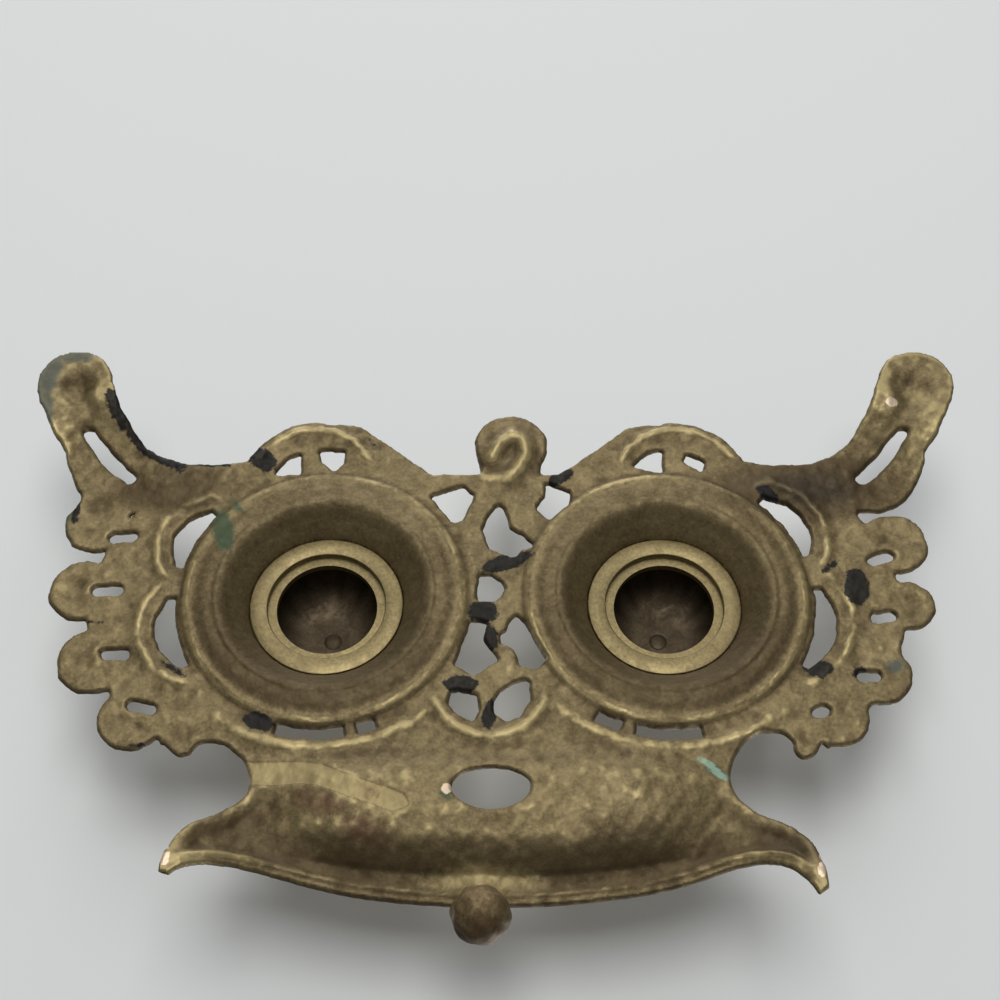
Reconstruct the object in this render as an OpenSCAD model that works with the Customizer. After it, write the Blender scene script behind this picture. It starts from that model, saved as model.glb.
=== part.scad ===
// Cast brass double inkstand: a pierced scrollwork casting with a pen tray in front, a drip
// saucer round each of the two wells, and a hinged domed lid over each well.
// Millimetres, Z up, standing on its feet, with the pen tray towards -Y.

/* [Wells] */
// Half the distance between the two wells
well_x = 47; // [46:0.5:49]
// Radius of the raised rim of each saucer
saucer_r = 38; // [37:0.5:39]
// How far the drip channel dips below the casting's level
channel_dip = 3; // [2:0.5:4]
// Radius of the lowest line of the drip channel
channel_r = 32; // [31:0.5:33]
// Height of each well's land above the casting's level
land_rise = 5.6; // [5:0.2:7]
// Outer radius of the land that carries the well's fittings
land_r = 25.5; // [25.2:0.1:27]

/* [Casting] */
// Thickness of the cast metal
wall = 2.6; // [2.2:0.2:3.2]
// Height of the casting's underside above the desk
flange_z = 10; // [9:0.5:12]
// Radius of the round beads that edge the saucers
bead_r = 1.1; // [0.8:0.1:1.4]

/* [Scrollwork] */
// Reach of each wing's round body outside the saucer's rim, and of the tray's back edge
wing_band = 8; // [7:0.5:9]
// Radius of the arch behind each well
arch_r = 20; // [19:0.5:21]
// Radius of the scroll's head in the middle of the back edge
head_r = 10.6; // [10:0.2:11.4]
// Radius of the round bays between the wings and the tray
bay_r = 11.5; // [11:0.5:12]
// Width of the slots in the lobes
slot_w = 3; // [2.4:0.2:3.4]
// Metal between a crescent opening and the saucer's rim
crescent_gap = 3.2; // [2.6:0.2:3.6]
// Width of a crescent opening at its middle
crescent_w = 6; // [5:0.5:7]

/* [Pen tray] */
// Reach of the tray's lip in front of the wells' line
tray_front = 87; // [84:0.5:92]
// Depth of the pen trough below the casting's level
tray_drop = 5; // [3:0.5:6]
// How far the lip draws back towards the claws
lip_draw = 10; // [8:0.5:12]
// Rise of the front lip above the casting's level
lip_rise = 3.5; // [2:0.5:5]
// Half the distance between the two claw tips
tip_x = 81; // [79:0.5:83]
// Reach of the claw tips in front of the wells' line
tip_y = 81.5; // [79:0.5:83]
// How much further forward the left claw was cast
claw_lean = 4.5; // [3:0.5:6]
// Radius of the ball under the middle of the lip
ball_r = 7.8; // [7:0.2:9]
// Half length of the oval hole in the tray
oval_x = 10; // [8:0.5:12]
// Half width of the oval hole in the tray
oval_y = 6; // [4:0.5:8]

/* [Horns] */
// Half the distance between the centres of the two horn ends
horn_x = 122.5; // [120:0.5:125]
// Distance of the horn ends behind the wells' line
horn_y = 65.5; // [63:0.5:68]
// Half width of each horn where it leaves the wing
arm_w = 8; // [7:0.5:9]
// Extra width of the horn's root on its outer side
root_w = 4.5; // [3:0.5:6]
// Radius of the spoon at the end of each horn
spoon_r = 11; // [10:0.5:12]
// Rise of the spoon's hollow
spoon_rise = 4.5; // [3:0.5:6]

/* [Well fittings] */
// Radius of the turned collar's spigot
collar_r = 21.3; // [20.8:0.1:21.8]
// Bore radius of the turned collar
collar_bore_r = 16.4; // [16:0.1:17]
// Depth of the turned collar
collar_h = 2.2; // [1.8:0.2:2.6]
// Radius of the bore that takes the ink liner
liner_r = 14; // [13:0.1:14.6]
// Outer radius of the seat ring and of the lid's rim
lid_r = 24.6; // [24.4:0.1:25]
// Thickness of the seat ring
seat_h = 2.2; // [1.8:0.2:3]
// Width of the lip that keeps the lid central
lip_w = 1.8; // [1.4:0.2:2.2]
// Height of the lip above the seat
lip_h = 1.6; // [1:0.2:2]

/* [Lids] */
// Height of the lid's plain rim
rim_h = 2.8; // [2.4:0.2:4]
// Height of the dome above the rim
dome_h = 15.5; // [12:0.5:18]
// Thickness of the lid
lid_wall = 1.6; // [1.4:0.1:2]
// Radius of the ball of the lid's knob
knob_r = 4.4; // [3.6:0.2:5]
// Radius of the knob's tenon
tenon_r = 2; // [1.6:0.1:2.2]

/* [Hinges] */
// Radius of the hinge pin
pin_r = 1.1; // [0.9:0.05:1.3]
// Radius of the hinge knuckles
knuckle_r = 2.6; // [2.4:0.1:2.7]
// Length of the lid's middle knuckle
lid_knuckle_l = 6.4; // [5:0.2:8]
// Length of each outer knuckle
side_knuckle_l = 3.6; // [3:0.2:5]
// Clearance between a lid and what it closes on
lid_gap = 0.3; // [0.2:0.05:0.4]
// Running clearance round the pin in the lid's knuckle
pin_gap = 0.05; // [0.02:0.01:0.1]

/* [Hidden] */

SIDES = [-1, 1];
CAST_COLOR = [0.42, 0.35, 0.22];
TURNED_COLOR = [0.56, 0.48, 0.31];
LID_COLOR = [0.36, 0.27, 0.16];
PIN_COLOR = [0.30, 0.27, 0.22];
EPS = 0.01;

mid_z = flange_z + wall / 2;
land_z = flange_z + land_rise;
seat_z = land_z + wall;
lid_z = seat_z + seat_h + lid_gap;
hinge_y = lid_r + knuckle_r + lid_gap;
hinge_z = lid_z + knuckle_r;
knuckle_gap = lid_gap / 2;
pin_l = lid_knuckle_l + 2 * knuckle_gap + 2 * side_knuckle_l;
tray_back = saucer_r + wing_band;
wing_spot = [well_x + saucer_r / 2, -2];
arch_spot = [well_x + 0.275 * arch_r, saucer_r];
head_spot = [-4.5, saucer_r + 12];
bay_spot = [tip_x - 5.5, -tray_back - 9];
oval_spot = [1, -tray_back - 2 * oval_y];
// The small openings in the middle were laid out for this distance between the wells
lattice_scale = well_x / 47;
// The ball hangs a little in front of the lip, off the middle as it was cast
ball_spot = [3.5, -tray_front - 3, mid_z - 1.5];
// The origin is below the middle of the stand's outline, a little in front of the wells' line
well_y = (ball_r - ball_spot[1] - horn_y - spoon_r) / 2;

// Lobes of the wings: angle round the well, distance of the lobe's centre outside the saucer's
// rim, and radius. The two wings were modelled by hand and differ a little.
WEST_LOBES = [[14.5, 29, 9.5], [-2.5, 28.5, 7.5], [-23, 22.5, 9.2], [-40, 18.5, 8.6], [-51, 17.5, 6]];
EAST_LOBES = [[19.5, 31.5, 9.2], [1.5, 29, 9.3], [-18, 26.5, 9.8], [-37, 23, 9.4], [-50, 16.5, 6]];
// Slots in the lobes: angle round the well, distance outside the rim, length and tilt
WEST_SLOTS = [[11, 23.6, 7.5, 20], [-6.5, 21.5, 7, 10], [-25, 20.6, 6.5, 0], [-42, 14.6, 4.6, 22]];
EAST_SLOTS = [[18, 22.8, 7.5, -6], [1.5, 22, 8.5, -1], [-18, 20.4, 7.5, -4], [-36, 19.6, 7.8, 14]];
// Crescent openings beside each saucer: first and last angle
WEST_CRESCENTS = [[18, 47], [-31, 3]];
EAST_CRESCENTS = [[13, 39], [-31, -1]];
// Openings under each saucer: first and last angle
WEST_UNDER = [[-104, -80], [-119, -110]];
EAST_UNDER = [[-100, -75], [-112, -105]];

function lobes(side) = side < 0 ? WEST_LOBES : EAST_LOBES;
function slots(side) = side < 0 ? WEST_SLOTS : EAST_SLOTS;
function crescents(side) = side < 0 ? WEST_CRESCENTS : EAST_CRESCENTS;
function unders(side) = side < 0 ? WEST_UNDER : EAST_UNDER;

function clamp(v) = min(1, max(0, v));
function ease(v) = let (c = clamp(v)) c * c * (3 - 2 * c);
function polar(angle, radius) = [radius * cos(angle), radius * sin(angle)];
function lobe_spot(lobe) = [well_x, 0] + polar(lobe[0], saucer_r + lobe[1]);

// Closed skin from a grid of centre points, rows running to the right of columns, and half the
// thickness at each point: upper face, lower face and rim
module skin(grid, halves) {
    rows = len(grid);
    cols = len(grid[0]);
    upper = [for (i = [0:rows - 1]) for (j = [0:cols - 1]) grid[i][j] + [0, 0, halves[i][j]]];
    lower = [for (i = [0:rows - 1]) for (j = [0:cols - 1]) grid[i][j] - [0, 0, halves[i][j]]];
    n = rows * cols;
    function at(i, j) = i * cols + j;
    function pair(a, b, c, d) = [[a, b, c], [a, c, d]];
    faces = [
        for (i = [0:rows - 2]) for (j = [0:cols - 2]) each concat(
            pair(at(i, j), at(i, j + 1), at(i + 1, j + 1), at(i + 1, j)),
            pair(n + at(i + 1, j), n + at(i + 1, j + 1), n + at(i, j + 1), n + at(i, j))),
        for (i = [0:rows - 2]) each concat(
            pair(at(i, 0), at(i + 1, 0), n + at(i + 1, 0), n + at(i, 0)),
            pair(at(i + 1, cols - 1), at(i, cols - 1), n + at(i, cols - 1), n + at(i + 1, cols - 1))),
        for (j = [0:cols - 2]) each concat(
            pair(at(0, j + 1), at(0, j), n + at(0, j), n + at(0, j + 1)),
            pair(at(rows - 1, j), at(rows - 1, j + 1), n + at(rows - 1, j + 1), n + at(rows - 1, j)))
    ];
    polyhedron(concat(upper, lower), faces, convexity = 8);
}

// Front edge of the tray: it draws back from the middle towards the claws
function lip_y(x) = -tray_front + lip_draw * pow(x / (tip_x - 13), 2);
function bezier(a, b, c, t) = (1 - t) * (1 - t) * a + 2 * t * (1 - t) * b + t * t * c;
function bezier_way(a, b, c, t) =
    let (way = (1 - t) * (b - a) + t * (c - b)) way / norm(way);
function long_bezier(a, b, c, d, t) = (1 - t) * bezier(a, b, c, t) + t * bezier(b, c, d, t);

// Height of the trough's metal from its back edge (0) to the lip (1)
function trough(across, depth) =
    depth * (lip_rise * ease((across - 0.6) / 0.4) - tray_drop * sin(180 * clamp(across / 0.82)));

// The pen tray with its claws: one skin between its back edge and its lip, straight in the
// middle. Towards both ends the two edges turn forward, meet in a claw and come down to the desk.
module tray() {
    straight = 0.6;
    turn_x = tip_x - 23;
    lip_x = tip_x - 31;
    back = -tray_back + 2.5;
    function tip(side) = [tip_x + 1.3, -tip_y - (side < 0 ? claw_lean : 0)];
    across = [0, 0.06, for (k = [2:12]) k / 12];
    stations = [for (k = [16:-1:-16]) k / 16];
    function back_edge(s, side) = s < straight
        ? [turn_x * s / straight, back]
        : bezier([turn_x, back], [tip_x + 1.3, back - 22.5], tip(side), (s - straight) / (1 - straight));
    function lip_edge(s, side) = s < straight
        ? [lip_x * s / straight, lip_y(lip_x * s / straight)]
        : long_bezier([lip_x, lip_y(lip_x)], [lip_x + 9, lip_y(lip_x) + 2.6], [tip_x - 10, -tray_front + 17.6],
                      tip(side) - [2.1, 2.3], (s - straight) / (1 - straight));
    grid = [for (u = stations) let (s = abs(u), depth = 1 - ease((s - 0.35) / 0.4))
        [for (v = across)
            let (p = (1 - v) * back_edge(s, u) + v * lip_edge(s, u))
            [sign(u) * p[0], p[1],
             mid_z + trough(v, depth) - (mid_z - wall / 2 + 0.3) * ease((s - 0.62) / 0.36)]]];
    skin(grid, [for (u = stations) [for (v = across) (v == 0 ? 0.35 : 0.5) * wall]]);
}

// Horn: a curved arm that leaves the wing and comes down to the desk in a hollow round spoon
module horn() {
    start = [well_x + 39, 34];
    bend = [well_x + 65, 34];
    end = [horn_x, horn_y];
    reach = spoon_r / (2 * norm(end - bend));
    spots = [for (k = [0:16]) (1 + 0.97 * reach) * k / 16];
    grid = [for (t = spots) [for (w = [-1:0.25:1])
        let (c = min(t, 1), way = bezier_way(start, bend, end, c),
             past = max(0, t - 1) * 2 * norm(end - bend),
             arm = arm_w + (spoon_r - arm_w) * c + (w < 0 ? root_w * sin(180 * clamp((t - 0.25) / 0.45)) : 0),
             half = t > 1 ? sqrt(spoon_r * spoon_r - past * past) : arm,
             p = bezier(start, bend, end, c) + past * way + w * half * [-way[1], way[0]],
             hollow = max(0, 1 - pow(norm(p - end) / spoon_r, 2)))
        [p[0], p[1], mid_z - (flange_z + 0.4) * ease((t - 0.42) / 0.5) + spoon_rise * hollow]]];
    skin(grid, [for (t = spots) [for (w = [-1:0.25:1]) (t < 0.3 ? 0.35 : 0.5) * wall]]);
}

// Points of a flat bar with round ends of two radii
function bar(a, b, ra, rb) =
    let (way = b - a, turn = atan2(way[1], way[0]), lean = acos((ra - rb) / norm(way)))
    concat(
        [for (k = [0:6]) a + polar(turn + lean + (360 - 2 * lean) * k / 6, ra)],
        [for (k = [0:6]) b + polar(turn - lean + 2 * lean * k / 6, rb)]
    );

// Points of a part of a ring with blunt ends, round the origin
function arc_slot(first, last, inner, outer) = concat(
    [for (k = [0:6]) polar(first + (last - first) * k / 6, outer)],
    [polar(last + 1.4, (inner + outer) / 2)],
    [for (k = [6:-1:0]) polar(first + (last - first) * k / 6, inner)],
    [polar(first - 1.4, (inner + outer) / 2)]
);

// Points of a crescent that follows the saucer's rim
function crescent(first, last) =
    let (middle = (first + last) / 2, half = (last - first) / 2,
         inner = saucer_r + crescent_gap)
    concat(
        [for (k = [-5:5]) polar(middle + half * k / 5, inner + 1 + (crescent_w - 1) * cos(k * 16))],
        [for (k = [5:-1:-5]) polar(middle + half * k / 5, inner)]
    );

module wing_plan(side) {
    translate(wing_spot) circle(saucer_r + wing_band, $fn = 60);
    for (lobe = lobes(side)) translate(lobe_spot(lobe)) circle(lobe[2], $fn = 40);
}

module arch_plan() {
    translate(arch_spot) circle(arch_r, $fn = 60);
    polygon(bar([well_x - arch_r / 4, saucer_r + 0.6 * arch_r], [well_x - 24, saucer_r - 5], 7, 7.6));
}

// Openings of the scrollwork in the middle, between the wells
module lattice_holes() {
    polygon([[18.1, 32.6], [9.3, 35.6], [6.4, 33.3], [10, 24.2], [11.7, 23.5], [14.6, 26.8]]);
    polygon([[-15, 36.7], [-21.3, 33.9], [-20.9, 30.5], [-15.1, 24.8], [-11.8, 28.2], [-14.1, 32.9]]);
    polygon([[-1, 29.5], [-2.1, 26.8], [-3.5, 22.5], [-7.5, 19.2], [-10.5, 15.9], [-7.4, 14.6], [-5.7, 12.4],
             [-1.5, 13.3], [1.5, 14.6], [3, 19.2], [3.5, 21.9], [2.4, 25.8]]);
    polygon([[4.6, 6.6], [1.5, 6.6], [-1.8, 4.9], [-2.8, 2.2], [-1.6, -0.4], [0.9, -2], [4.8, -1.7]]);
    polygon([[6.4, -7.6], [3.1, -8.2], [3.9, -12.8], [-0.7, -20.1], [6.2, -24.3], [10.5, -21.6]]);
    polygon([[-3.7, -8.2], [-5.6, -6.3], [-7, -7.3], [-13.4, -20.1], [-11.4, -22.2], [-7.4, -21.9],
             [-5.8, -16.8], [-1.3, -13.7], [-1.5, -11.9], [-3.2, -10.7]]);
    polygon([[11.8, -29], [4.8, -29.9], [4.3, -34.8], [5.6, -37.7], [10.1, -36], [12.5, -32.2]]);
    polygon([[-1, -29], [-5.5, -26.6], [-9, -26], [-9.5, -31.3], [-6.3, -36.6], [-2.8, -38], [0.3, -35.4],
             [0.6, -32.2]]);
}

// Openings of the arches, from the well's middle line and the saucer's rim
EAST_ARCH = [
    [[9.6, 2.6], [9.6, 8.8], [13.2, 8], [16.2, 2.6]],
    [[-0.7, 3.3], [-3, 6], [-3.2, 9.9], [1.2, 10.9], [3.9, 10.1], [3.2, 5.9]]
];
WEST_ARCH = [
    [[-7.1, 4.5], [0.9, 3], [1.3, 10.2], [-3.7, 9.2]],
    [[8, 9.2], [13.6, 5.9], [12.8, 3.3], [9.1, 4.9], [7.3, 7.3]]
];

module arch_holes(side) {
    for (corners = side < 0 ? WEST_ARCH : EAST_ARCH) translate([well_x, saucer_r]) polygon(corners);
}

module side_holes(side) {
    for (c = crescents(side)) translate([well_x, 0]) polygon(crescent(c[0], c[1]));
    for (u = unders(side))
        translate([well_x, 0]) polygon(arc_slot(u[0], u[1], saucer_r + 1.8, tray_back - 3));
    for (s = slots(side))
        translate([well_x, 0] + polar(s[0], saucer_r + s[1])) rotate(s[3])
            polygon(bar([-(s[2] - slot_w) / 2, 0], [(s[2] - slot_w) / 2, 0], slot_w / 2, slot_w / 2));
    arch_holes(side);
}

// Slot through each horn, near its root
module horn_slot() {
    polygon(bar([horn_x - 17.5, horn_y - 27.5], [horn_x - 10.5, horn_y - 21.5], 1.6, 2.1));
    polygon(bar([horn_x - 10.5, horn_y - 21.5], [horn_x - 5.5, horn_y - 15.5], 2.1, 1.6));
}

// Plan of the level, pierced part of the casting, seen from above
module plan() {
    difference() {
        union() {
            for (side = SIDES) mirror([side < 0 ? 1 : 0, 0]) {
                translate([well_x, 0]) circle(saucer_r + 2.6, $fn = 60);
                wing_plan(side);
                arch_plan();
                translate(bay_spot + [-bay_r - 2, 8]) circle(5, $fn = 30);
            }
            translate([-0.7 * well_x, -tray_back]) square([1.4 * well_x, tray_back + saucer_r + 2]);
            translate([bay_r - bay_spot[0], -tray_back]) square([2 * (bay_spot[0] - bay_r), wing_band + 6]);
            translate(head_spot) circle(head_r, $fn = 60);
            translate([head_spot[0] - 6, saucer_r - 4]) square([12.6, 14]);
        }
        for (side = SIDES) mirror([side < 0 ? 1 : 0, 0]) {
            side_holes(side);
            translate([well_x, 0]) circle(saucer_r + 0.4, $fn = 60);
        }
        scale(lattice_scale) lattice_holes();
    }
}

// Height of the saucer's metal at a given radius: from the rim down into the drip channel, then
// up to the land, which starts at the foot radius
function saucer_z(r, foot) =
    r > channel_r
    ? flange_z - channel_dip * (1 - cos(180 * clamp((saucer_r - r) / (saucer_r - channel_r)))) / 2
    : flange_z - channel_dip
      + (land_rise + channel_dip) * (1 - cos(180 * clamp((channel_r - r) / (channel_r - foot)))) / 2;

module saucer() {
    steps = 12;
    foot = collar_r + 0.6;
    under = [for (k = [0:steps]) foot + (saucer_r - foot) * k / steps];
    over = [for (k = [steps:-1:0]) land_r + (saucer_r - land_r) * k / steps];
    tongue = [saucer_r + 1.4, flange_z + wall / 2];
    rotate_extrude($fn = 72) {
        polygon([
            [collar_r, land_z],
            for (r = under) [r, saucer_z(r, foot)],
            tongue,
            for (r = over) [r, saucer_z(r, land_r) + wall],
            [collar_r, land_z + wall]
        ]);
    }
}

// Raised bead of round section on the underside, a ring or a part of one
module bead_ring(radius, first = 0, sweep = 360) {
    rotate(first) rotate_extrude(angle = sweep, $fn = 72)
        polygon([for (k = [0:7]) [radius, flange_z + bead_r / 5] + polar(45 * k + 10, bead_r)]);
}

// The relief on the scroll's head is a spiral of half turns, each smaller than the last
module scroll_relief() {
    for (k = [0:2])
        translate(head_spot + [k % 2 == 0 ? 0 : 1.4, 0])
            bead_ring(head_r - 2.6 - 1.4 * k, 180 * k - 90, 180);
}

module base_casting() color(CAST_COLOR)
    translate([0, well_y, 0]) difference() {
        union() {
            translate([0, 0, flange_z]) linear_extrude(wall, convexity = 20) plan();
            for (side = SIDES) {
                translate([side * well_x, 0, 0]) {
                    saucer();
                    bead_ring(saucer_r);
                    bead_ring(tray_back, -130, 80);
                }
                mirror([side < 0 ? 1 : 0, 0, 0]) horn();
            }
            tray();
            translate([1.5, -27, 0]) bead_ring(15.5, 195, 150);
            scroll_relief();
            translate(ball_spot) sphere(ball_r, $fn = 48);
        }
        for (side = SIDES) mirror([side < 0 ? 1 : 0, 0, 0]) linear_extrude(3 * flange_z) {
            horn_slot();
            difference() {
                translate(bay_spot) circle(bay_r, $fn = 60);
                translate(lobe_spot(lobes(side)[4]) - [0, 2.4]) circle(3.6, $fn = 30);
            }
            translate(bay_spot) polygon([[-9, -5.5], [5.1, -17.6], [8.5, -19], [8.5, 5], [-9, 5]]);
        }
        linear_extrude(3 * flange_z)
            polygon([for (k = [0:23]) oval_spot + [oval_x * cos(15 * k), oval_y * sin(15 * k)]]);
        translate([-horn_x - 2 * spoon_r, -tray_front - 3 * ball_r, -flange_z])
            cube([2 * horn_x + 4 * spoon_r, tray_front + horn_y + 6 * ball_r, flange_z]);
    }

// Turned ring, let into the hole of the land from above and flush with its top
module collar(side) color(TURNED_COLOR)
    translate([side * well_x, well_y, seat_z - collar_h]) difference() {
        cylinder(h = collar_h, r = collar_r, $fn = 96);
        translate([0, 0, -EPS]) cylinder(h = collar_h + 2 * EPS, r = collar_bore_r, $fn = 96);
    }

// Ring that carries the ink liner's flange, the lid's seat and the outer hinge knuckles
module seat_ring(side) color(TURNED_COLOR)
    translate([side * well_x, well_y, 0]) difference() {
        union() {
            translate([0, 0, seat_z]) cylinder(h = seat_h, r = lid_r, $fn = 96);
            translate([0, 0, seat_z])
                cylinder(h = seat_h + lip_h, r = lid_r - lid_wall - lid_gap - 0.6, $fn = 96);
            for (end = SIDES) {
                inner = lid_knuckle_l / 2 + knuckle_gap;
                x = end > 0 ? inner : -inner - side_knuckle_l;
                translate([x, hinge_y, hinge_z]) rotate([0, 90, 0])
                    cylinder(h = side_knuckle_l, r = knuckle_r, $fn = 48);
                translate([x, hinge_y - knuckle_r, seat_z])
                    cube([side_knuckle_l, 2 * knuckle_r, hinge_z - seat_z]);
                translate([x, hinge_y - knuckle_r - 4, seat_z]) cube([side_knuckle_l, 5, seat_h]);
            }
        }
        translate([0, 0, seat_z - EPS]) cylinder(h = seat_h + 2 * EPS, r = liner_r, $fn = 96);
        translate([0, 0, seat_z + seat_h])
            cylinder(h = lip_h + EPS, r = lid_r - lid_wall - lid_gap - 0.6 - lip_w, $fn = 96);
        translate([-pin_l / 2 - EPS, hinge_y, hinge_z]) rotate([0, 90, 0])
            cylinder(h = pin_l + 2 * EPS, r = pin_r, $fn = 48);
    }

// Half section of the lid's dome, from the rim's top to the crown
function dome(radius, height, base) =
    [for (k = [0:10]) [radius * pow(cos(9 * k), 0.8), base + height * sin(9 * k)]];

module lid_section() {
    shoulder = lid_z + rim_h;
    outer = dome(lid_r - 1.6, dome_h, shoulder + 0.8);
    inner = dome(lid_r - 1.6 - lid_wall, dome_h - lid_wall, shoulder + 0.8);
    polygon(concat(
        [[lid_r - lid_wall, lid_z], [lid_r, lid_z], [lid_r, shoulder]],
        outer,
        [for (k = [10:-1:0]) inner[k]],
        [[lid_r - lid_wall, shoulder]]
    ));
}

crown_z = lid_z + rim_h + 0.8 + dome_h;

module lid(side) color(LID_COLOR)
    translate([side * well_x, well_y, 0]) difference() {
        union() {
            rotate_extrude($fn = 96) lid_section();
            translate([-lid_knuckle_l / 2, hinge_y, hinge_z]) rotate([0, 90, 0])
                cylinder(h = lid_knuckle_l, r = knuckle_r, $fn = 48);
            difference() {
                translate([-lid_knuckle_l / 2, hinge_y - knuckle_r - 2, hinge_z - knuckle_r])
                    cube([lid_knuckle_l, knuckle_r + 2, 2 * knuckle_r]);
                translate([0, 0, lid_z - 1]) cylinder(h = rim_h + 4, r = lid_r - lid_wall / 2, $fn = 96);
            }
        }
        translate([-lid_knuckle_l, hinge_y, hinge_z]) rotate([0, 90, 0])
            cylinder(h = 2 * lid_knuckle_l, r = pin_r + pin_gap, $fn = 48);
        translate([0, 0, crown_z - 2 * lid_wall]) cylinder(h = 4 * lid_wall, r = tenon_r, $fn = 48);
    }

// Turned knob, its tenon riveted over inside the lid
module lid_knob(side) color(LID_COLOR)
    translate([side * well_x, well_y, crown_z]) {
        translate([0, 0, -lid_wall - 1]) cylinder(h = 0.9, r = tenon_r + 1, $fn = 48);
        translate([0, 0, -lid_wall - 1]) cylinder(h = lid_wall + 1 + EPS, r = tenon_r, $fn = 48);
        cylinder(h = 1.4, r = knob_r + 0.8, $fn = 48);
        translate([0, 0, 1]) cylinder(h = 3, r = tenon_r + 0.4, $fn = 48);
        translate([0, 0, 2.4 + knob_r]) sphere(knob_r, $fn = 48);
        translate([0, 0, 2.2 + 2 * knob_r]) sphere(knob_r / 3, $fn = 32);
    }

module hinge_pin(side) color(PIN_COLOR)
    translate([side * well_x - pin_l / 2, well_y + hinge_y, hinge_z]) rotate([0, 90, 0])
        cylinder(h = pin_l, r = pin_r, $fn = 48);

base_casting();
collar(-1);  // left_collar
collar(1);  // right_collar
seat_ring(-1);  // left_seat_ring
seat_ring(1);  // right_seat_ring
lid(-1);  // left_lid
lid(1);  // right_lid
lid_knob(-1);  // left_lid_knob
lid_knob(1);  // right_lid_knob
hinge_pin(-1);  // left_hinge_pin
hinge_pin(1);  // right_hinge_pin
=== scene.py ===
"""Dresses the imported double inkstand: cast scrollwork, turned fittings, lids and their finishes.

All shapes are worked out in millimetres on the stand's own plan: x along the stand, y from the
wells' line towards the back, z up from the desk. They are put into the meshes in metres.
"""
import math

import bpy
import numpy as np
from mathutils import Matrix, Vector


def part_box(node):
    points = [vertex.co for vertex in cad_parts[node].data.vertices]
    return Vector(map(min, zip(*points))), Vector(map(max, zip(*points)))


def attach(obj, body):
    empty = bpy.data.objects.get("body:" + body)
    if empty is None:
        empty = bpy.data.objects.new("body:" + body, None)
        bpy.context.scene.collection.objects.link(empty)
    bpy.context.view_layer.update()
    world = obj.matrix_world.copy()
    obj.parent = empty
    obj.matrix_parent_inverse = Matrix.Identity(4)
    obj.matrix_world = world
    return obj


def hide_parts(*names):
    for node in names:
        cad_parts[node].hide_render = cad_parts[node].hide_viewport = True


bl_info = {
    "name": "Double Desk Inkstand",
    "version": (1, 0, 0),
    "blender": (4, 5, 0),
    "location": "3D View > Sidebar > Inkstand",
    "description": "Makes the cast scrollwork, fittings, lids and stage of a double desk inkstand",
    "category": "Object",
}

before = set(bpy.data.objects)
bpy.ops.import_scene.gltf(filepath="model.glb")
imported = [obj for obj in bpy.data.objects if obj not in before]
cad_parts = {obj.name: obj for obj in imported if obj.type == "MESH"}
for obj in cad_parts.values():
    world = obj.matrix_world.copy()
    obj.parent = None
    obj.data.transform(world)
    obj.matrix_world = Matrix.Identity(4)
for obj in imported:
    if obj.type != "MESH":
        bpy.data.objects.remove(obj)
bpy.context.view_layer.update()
MM = 0.001

RIGHT_LOW, RIGHT_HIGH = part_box("right_collar")
WELL_X = (RIGHT_LOW.x + RIGHT_HIGH.x) / 2 / MM
WELL_Y = (RIGHT_LOW.y + RIGHT_HIGH.y) / 2 / MM
COLLAR_R = (RIGHT_HIGH.x - RIGHT_LOW.x) / 2 / MM
LAND_TOP = RIGHT_HIGH.z / MM
LID_LOW, LID_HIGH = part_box("right_lid")
LID_FOOT = LID_LOW.z / MM
CROWN = LID_HIGH.z / MM
LID_R = WELL_Y - LID_LOW.y / MM
PIN_LOW, PIN_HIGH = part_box("right_hinge_pin")
HINGE_Y = (PIN_LOW.y + PIN_HIGH.y) / 2 / MM - WELL_Y
HINGE_Z = (PIN_LOW.z + PIN_HIGH.z) / 2 / MM
KNOB_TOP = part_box("right_lid_knob")[1].z / MM
CASTING_LOW, CASTING_HIGH = (np.array([corner.x / MM, corner.y / MM - WELL_Y])
                             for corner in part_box("base_casting"))

SIDES = ((-1, "left"), (1, "right"))
COLLAR_BORE = 16.4
# The lid's wall, the height of its straight rim, the bore for its knob and the number of flutes
LID_WALL, LID_RIM, LID_BORE, FLUTES = 1.6, 2.8, 2.05, 16

# Lobes of the two wings, photographed left wing first: angle round the well, reach outside the
# saucer's rim, radius
LOBES = {
    1: [(19.5, 31.5, 9.2), (1.5, 29, 9.3), (-18, 26.5, 9.8), (-37, 23, 9.4), (-50, 16.5, 6)],
    -1: [(14.5, 29, 9.5), (-2.5, 28.5, 7.5), (-23, 22.5, 9.2), (-40, 18.5, 8.6), (-51, 17.5, 6)],
}
# Slots in the lobes: angle, reach, length, tilt
SLOTS = {
    1: [(18, 22.8, 7.5, -6), (1.5, 22, 8.5, -1), (-18, 20.4, 7.5, -4), (-36, 19.6, 7.8, 14)],
    -1: [(11, 23.6, 7.5, 20), (-6.5, 21.5, 7, 10), (-25, 20.6, 6.5, 0), (-42, 14.6, 4.6, 22)],
}
# Crescents beside each saucer and openings below it: first and last angle
CRESCENTS = {1: [(13, 39), (-31, -1)], -1: [(18, 47), (-31, 3)]}
UNDERS = {1: [(-100, -75), (-112, -105)], -1: [(-104, -80), (-119, -110)]}


def linear(red, green, blue):
    """Linear colour of a colour written in 0 to 255 steps of the usual display scale."""
    part = np.array([red, green, blue]) / 255
    return tuple(np.where(part < 0.04045, part / 12.92, ((part + 0.055) / 1.055) ** 2.4))


def size(name, words, default):
    return bpy.props.FloatProperty(name=name, description=words, default=default * MM, unit="LENGTH",
                                   subtype="DISTANCE", precision=4)


def colour(name, words, default):
    return bpy.props.FloatVectorProperty(name=name, description=words, default=linear(*default),
                                         subtype="COLOR", min=0, max=1)


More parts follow.
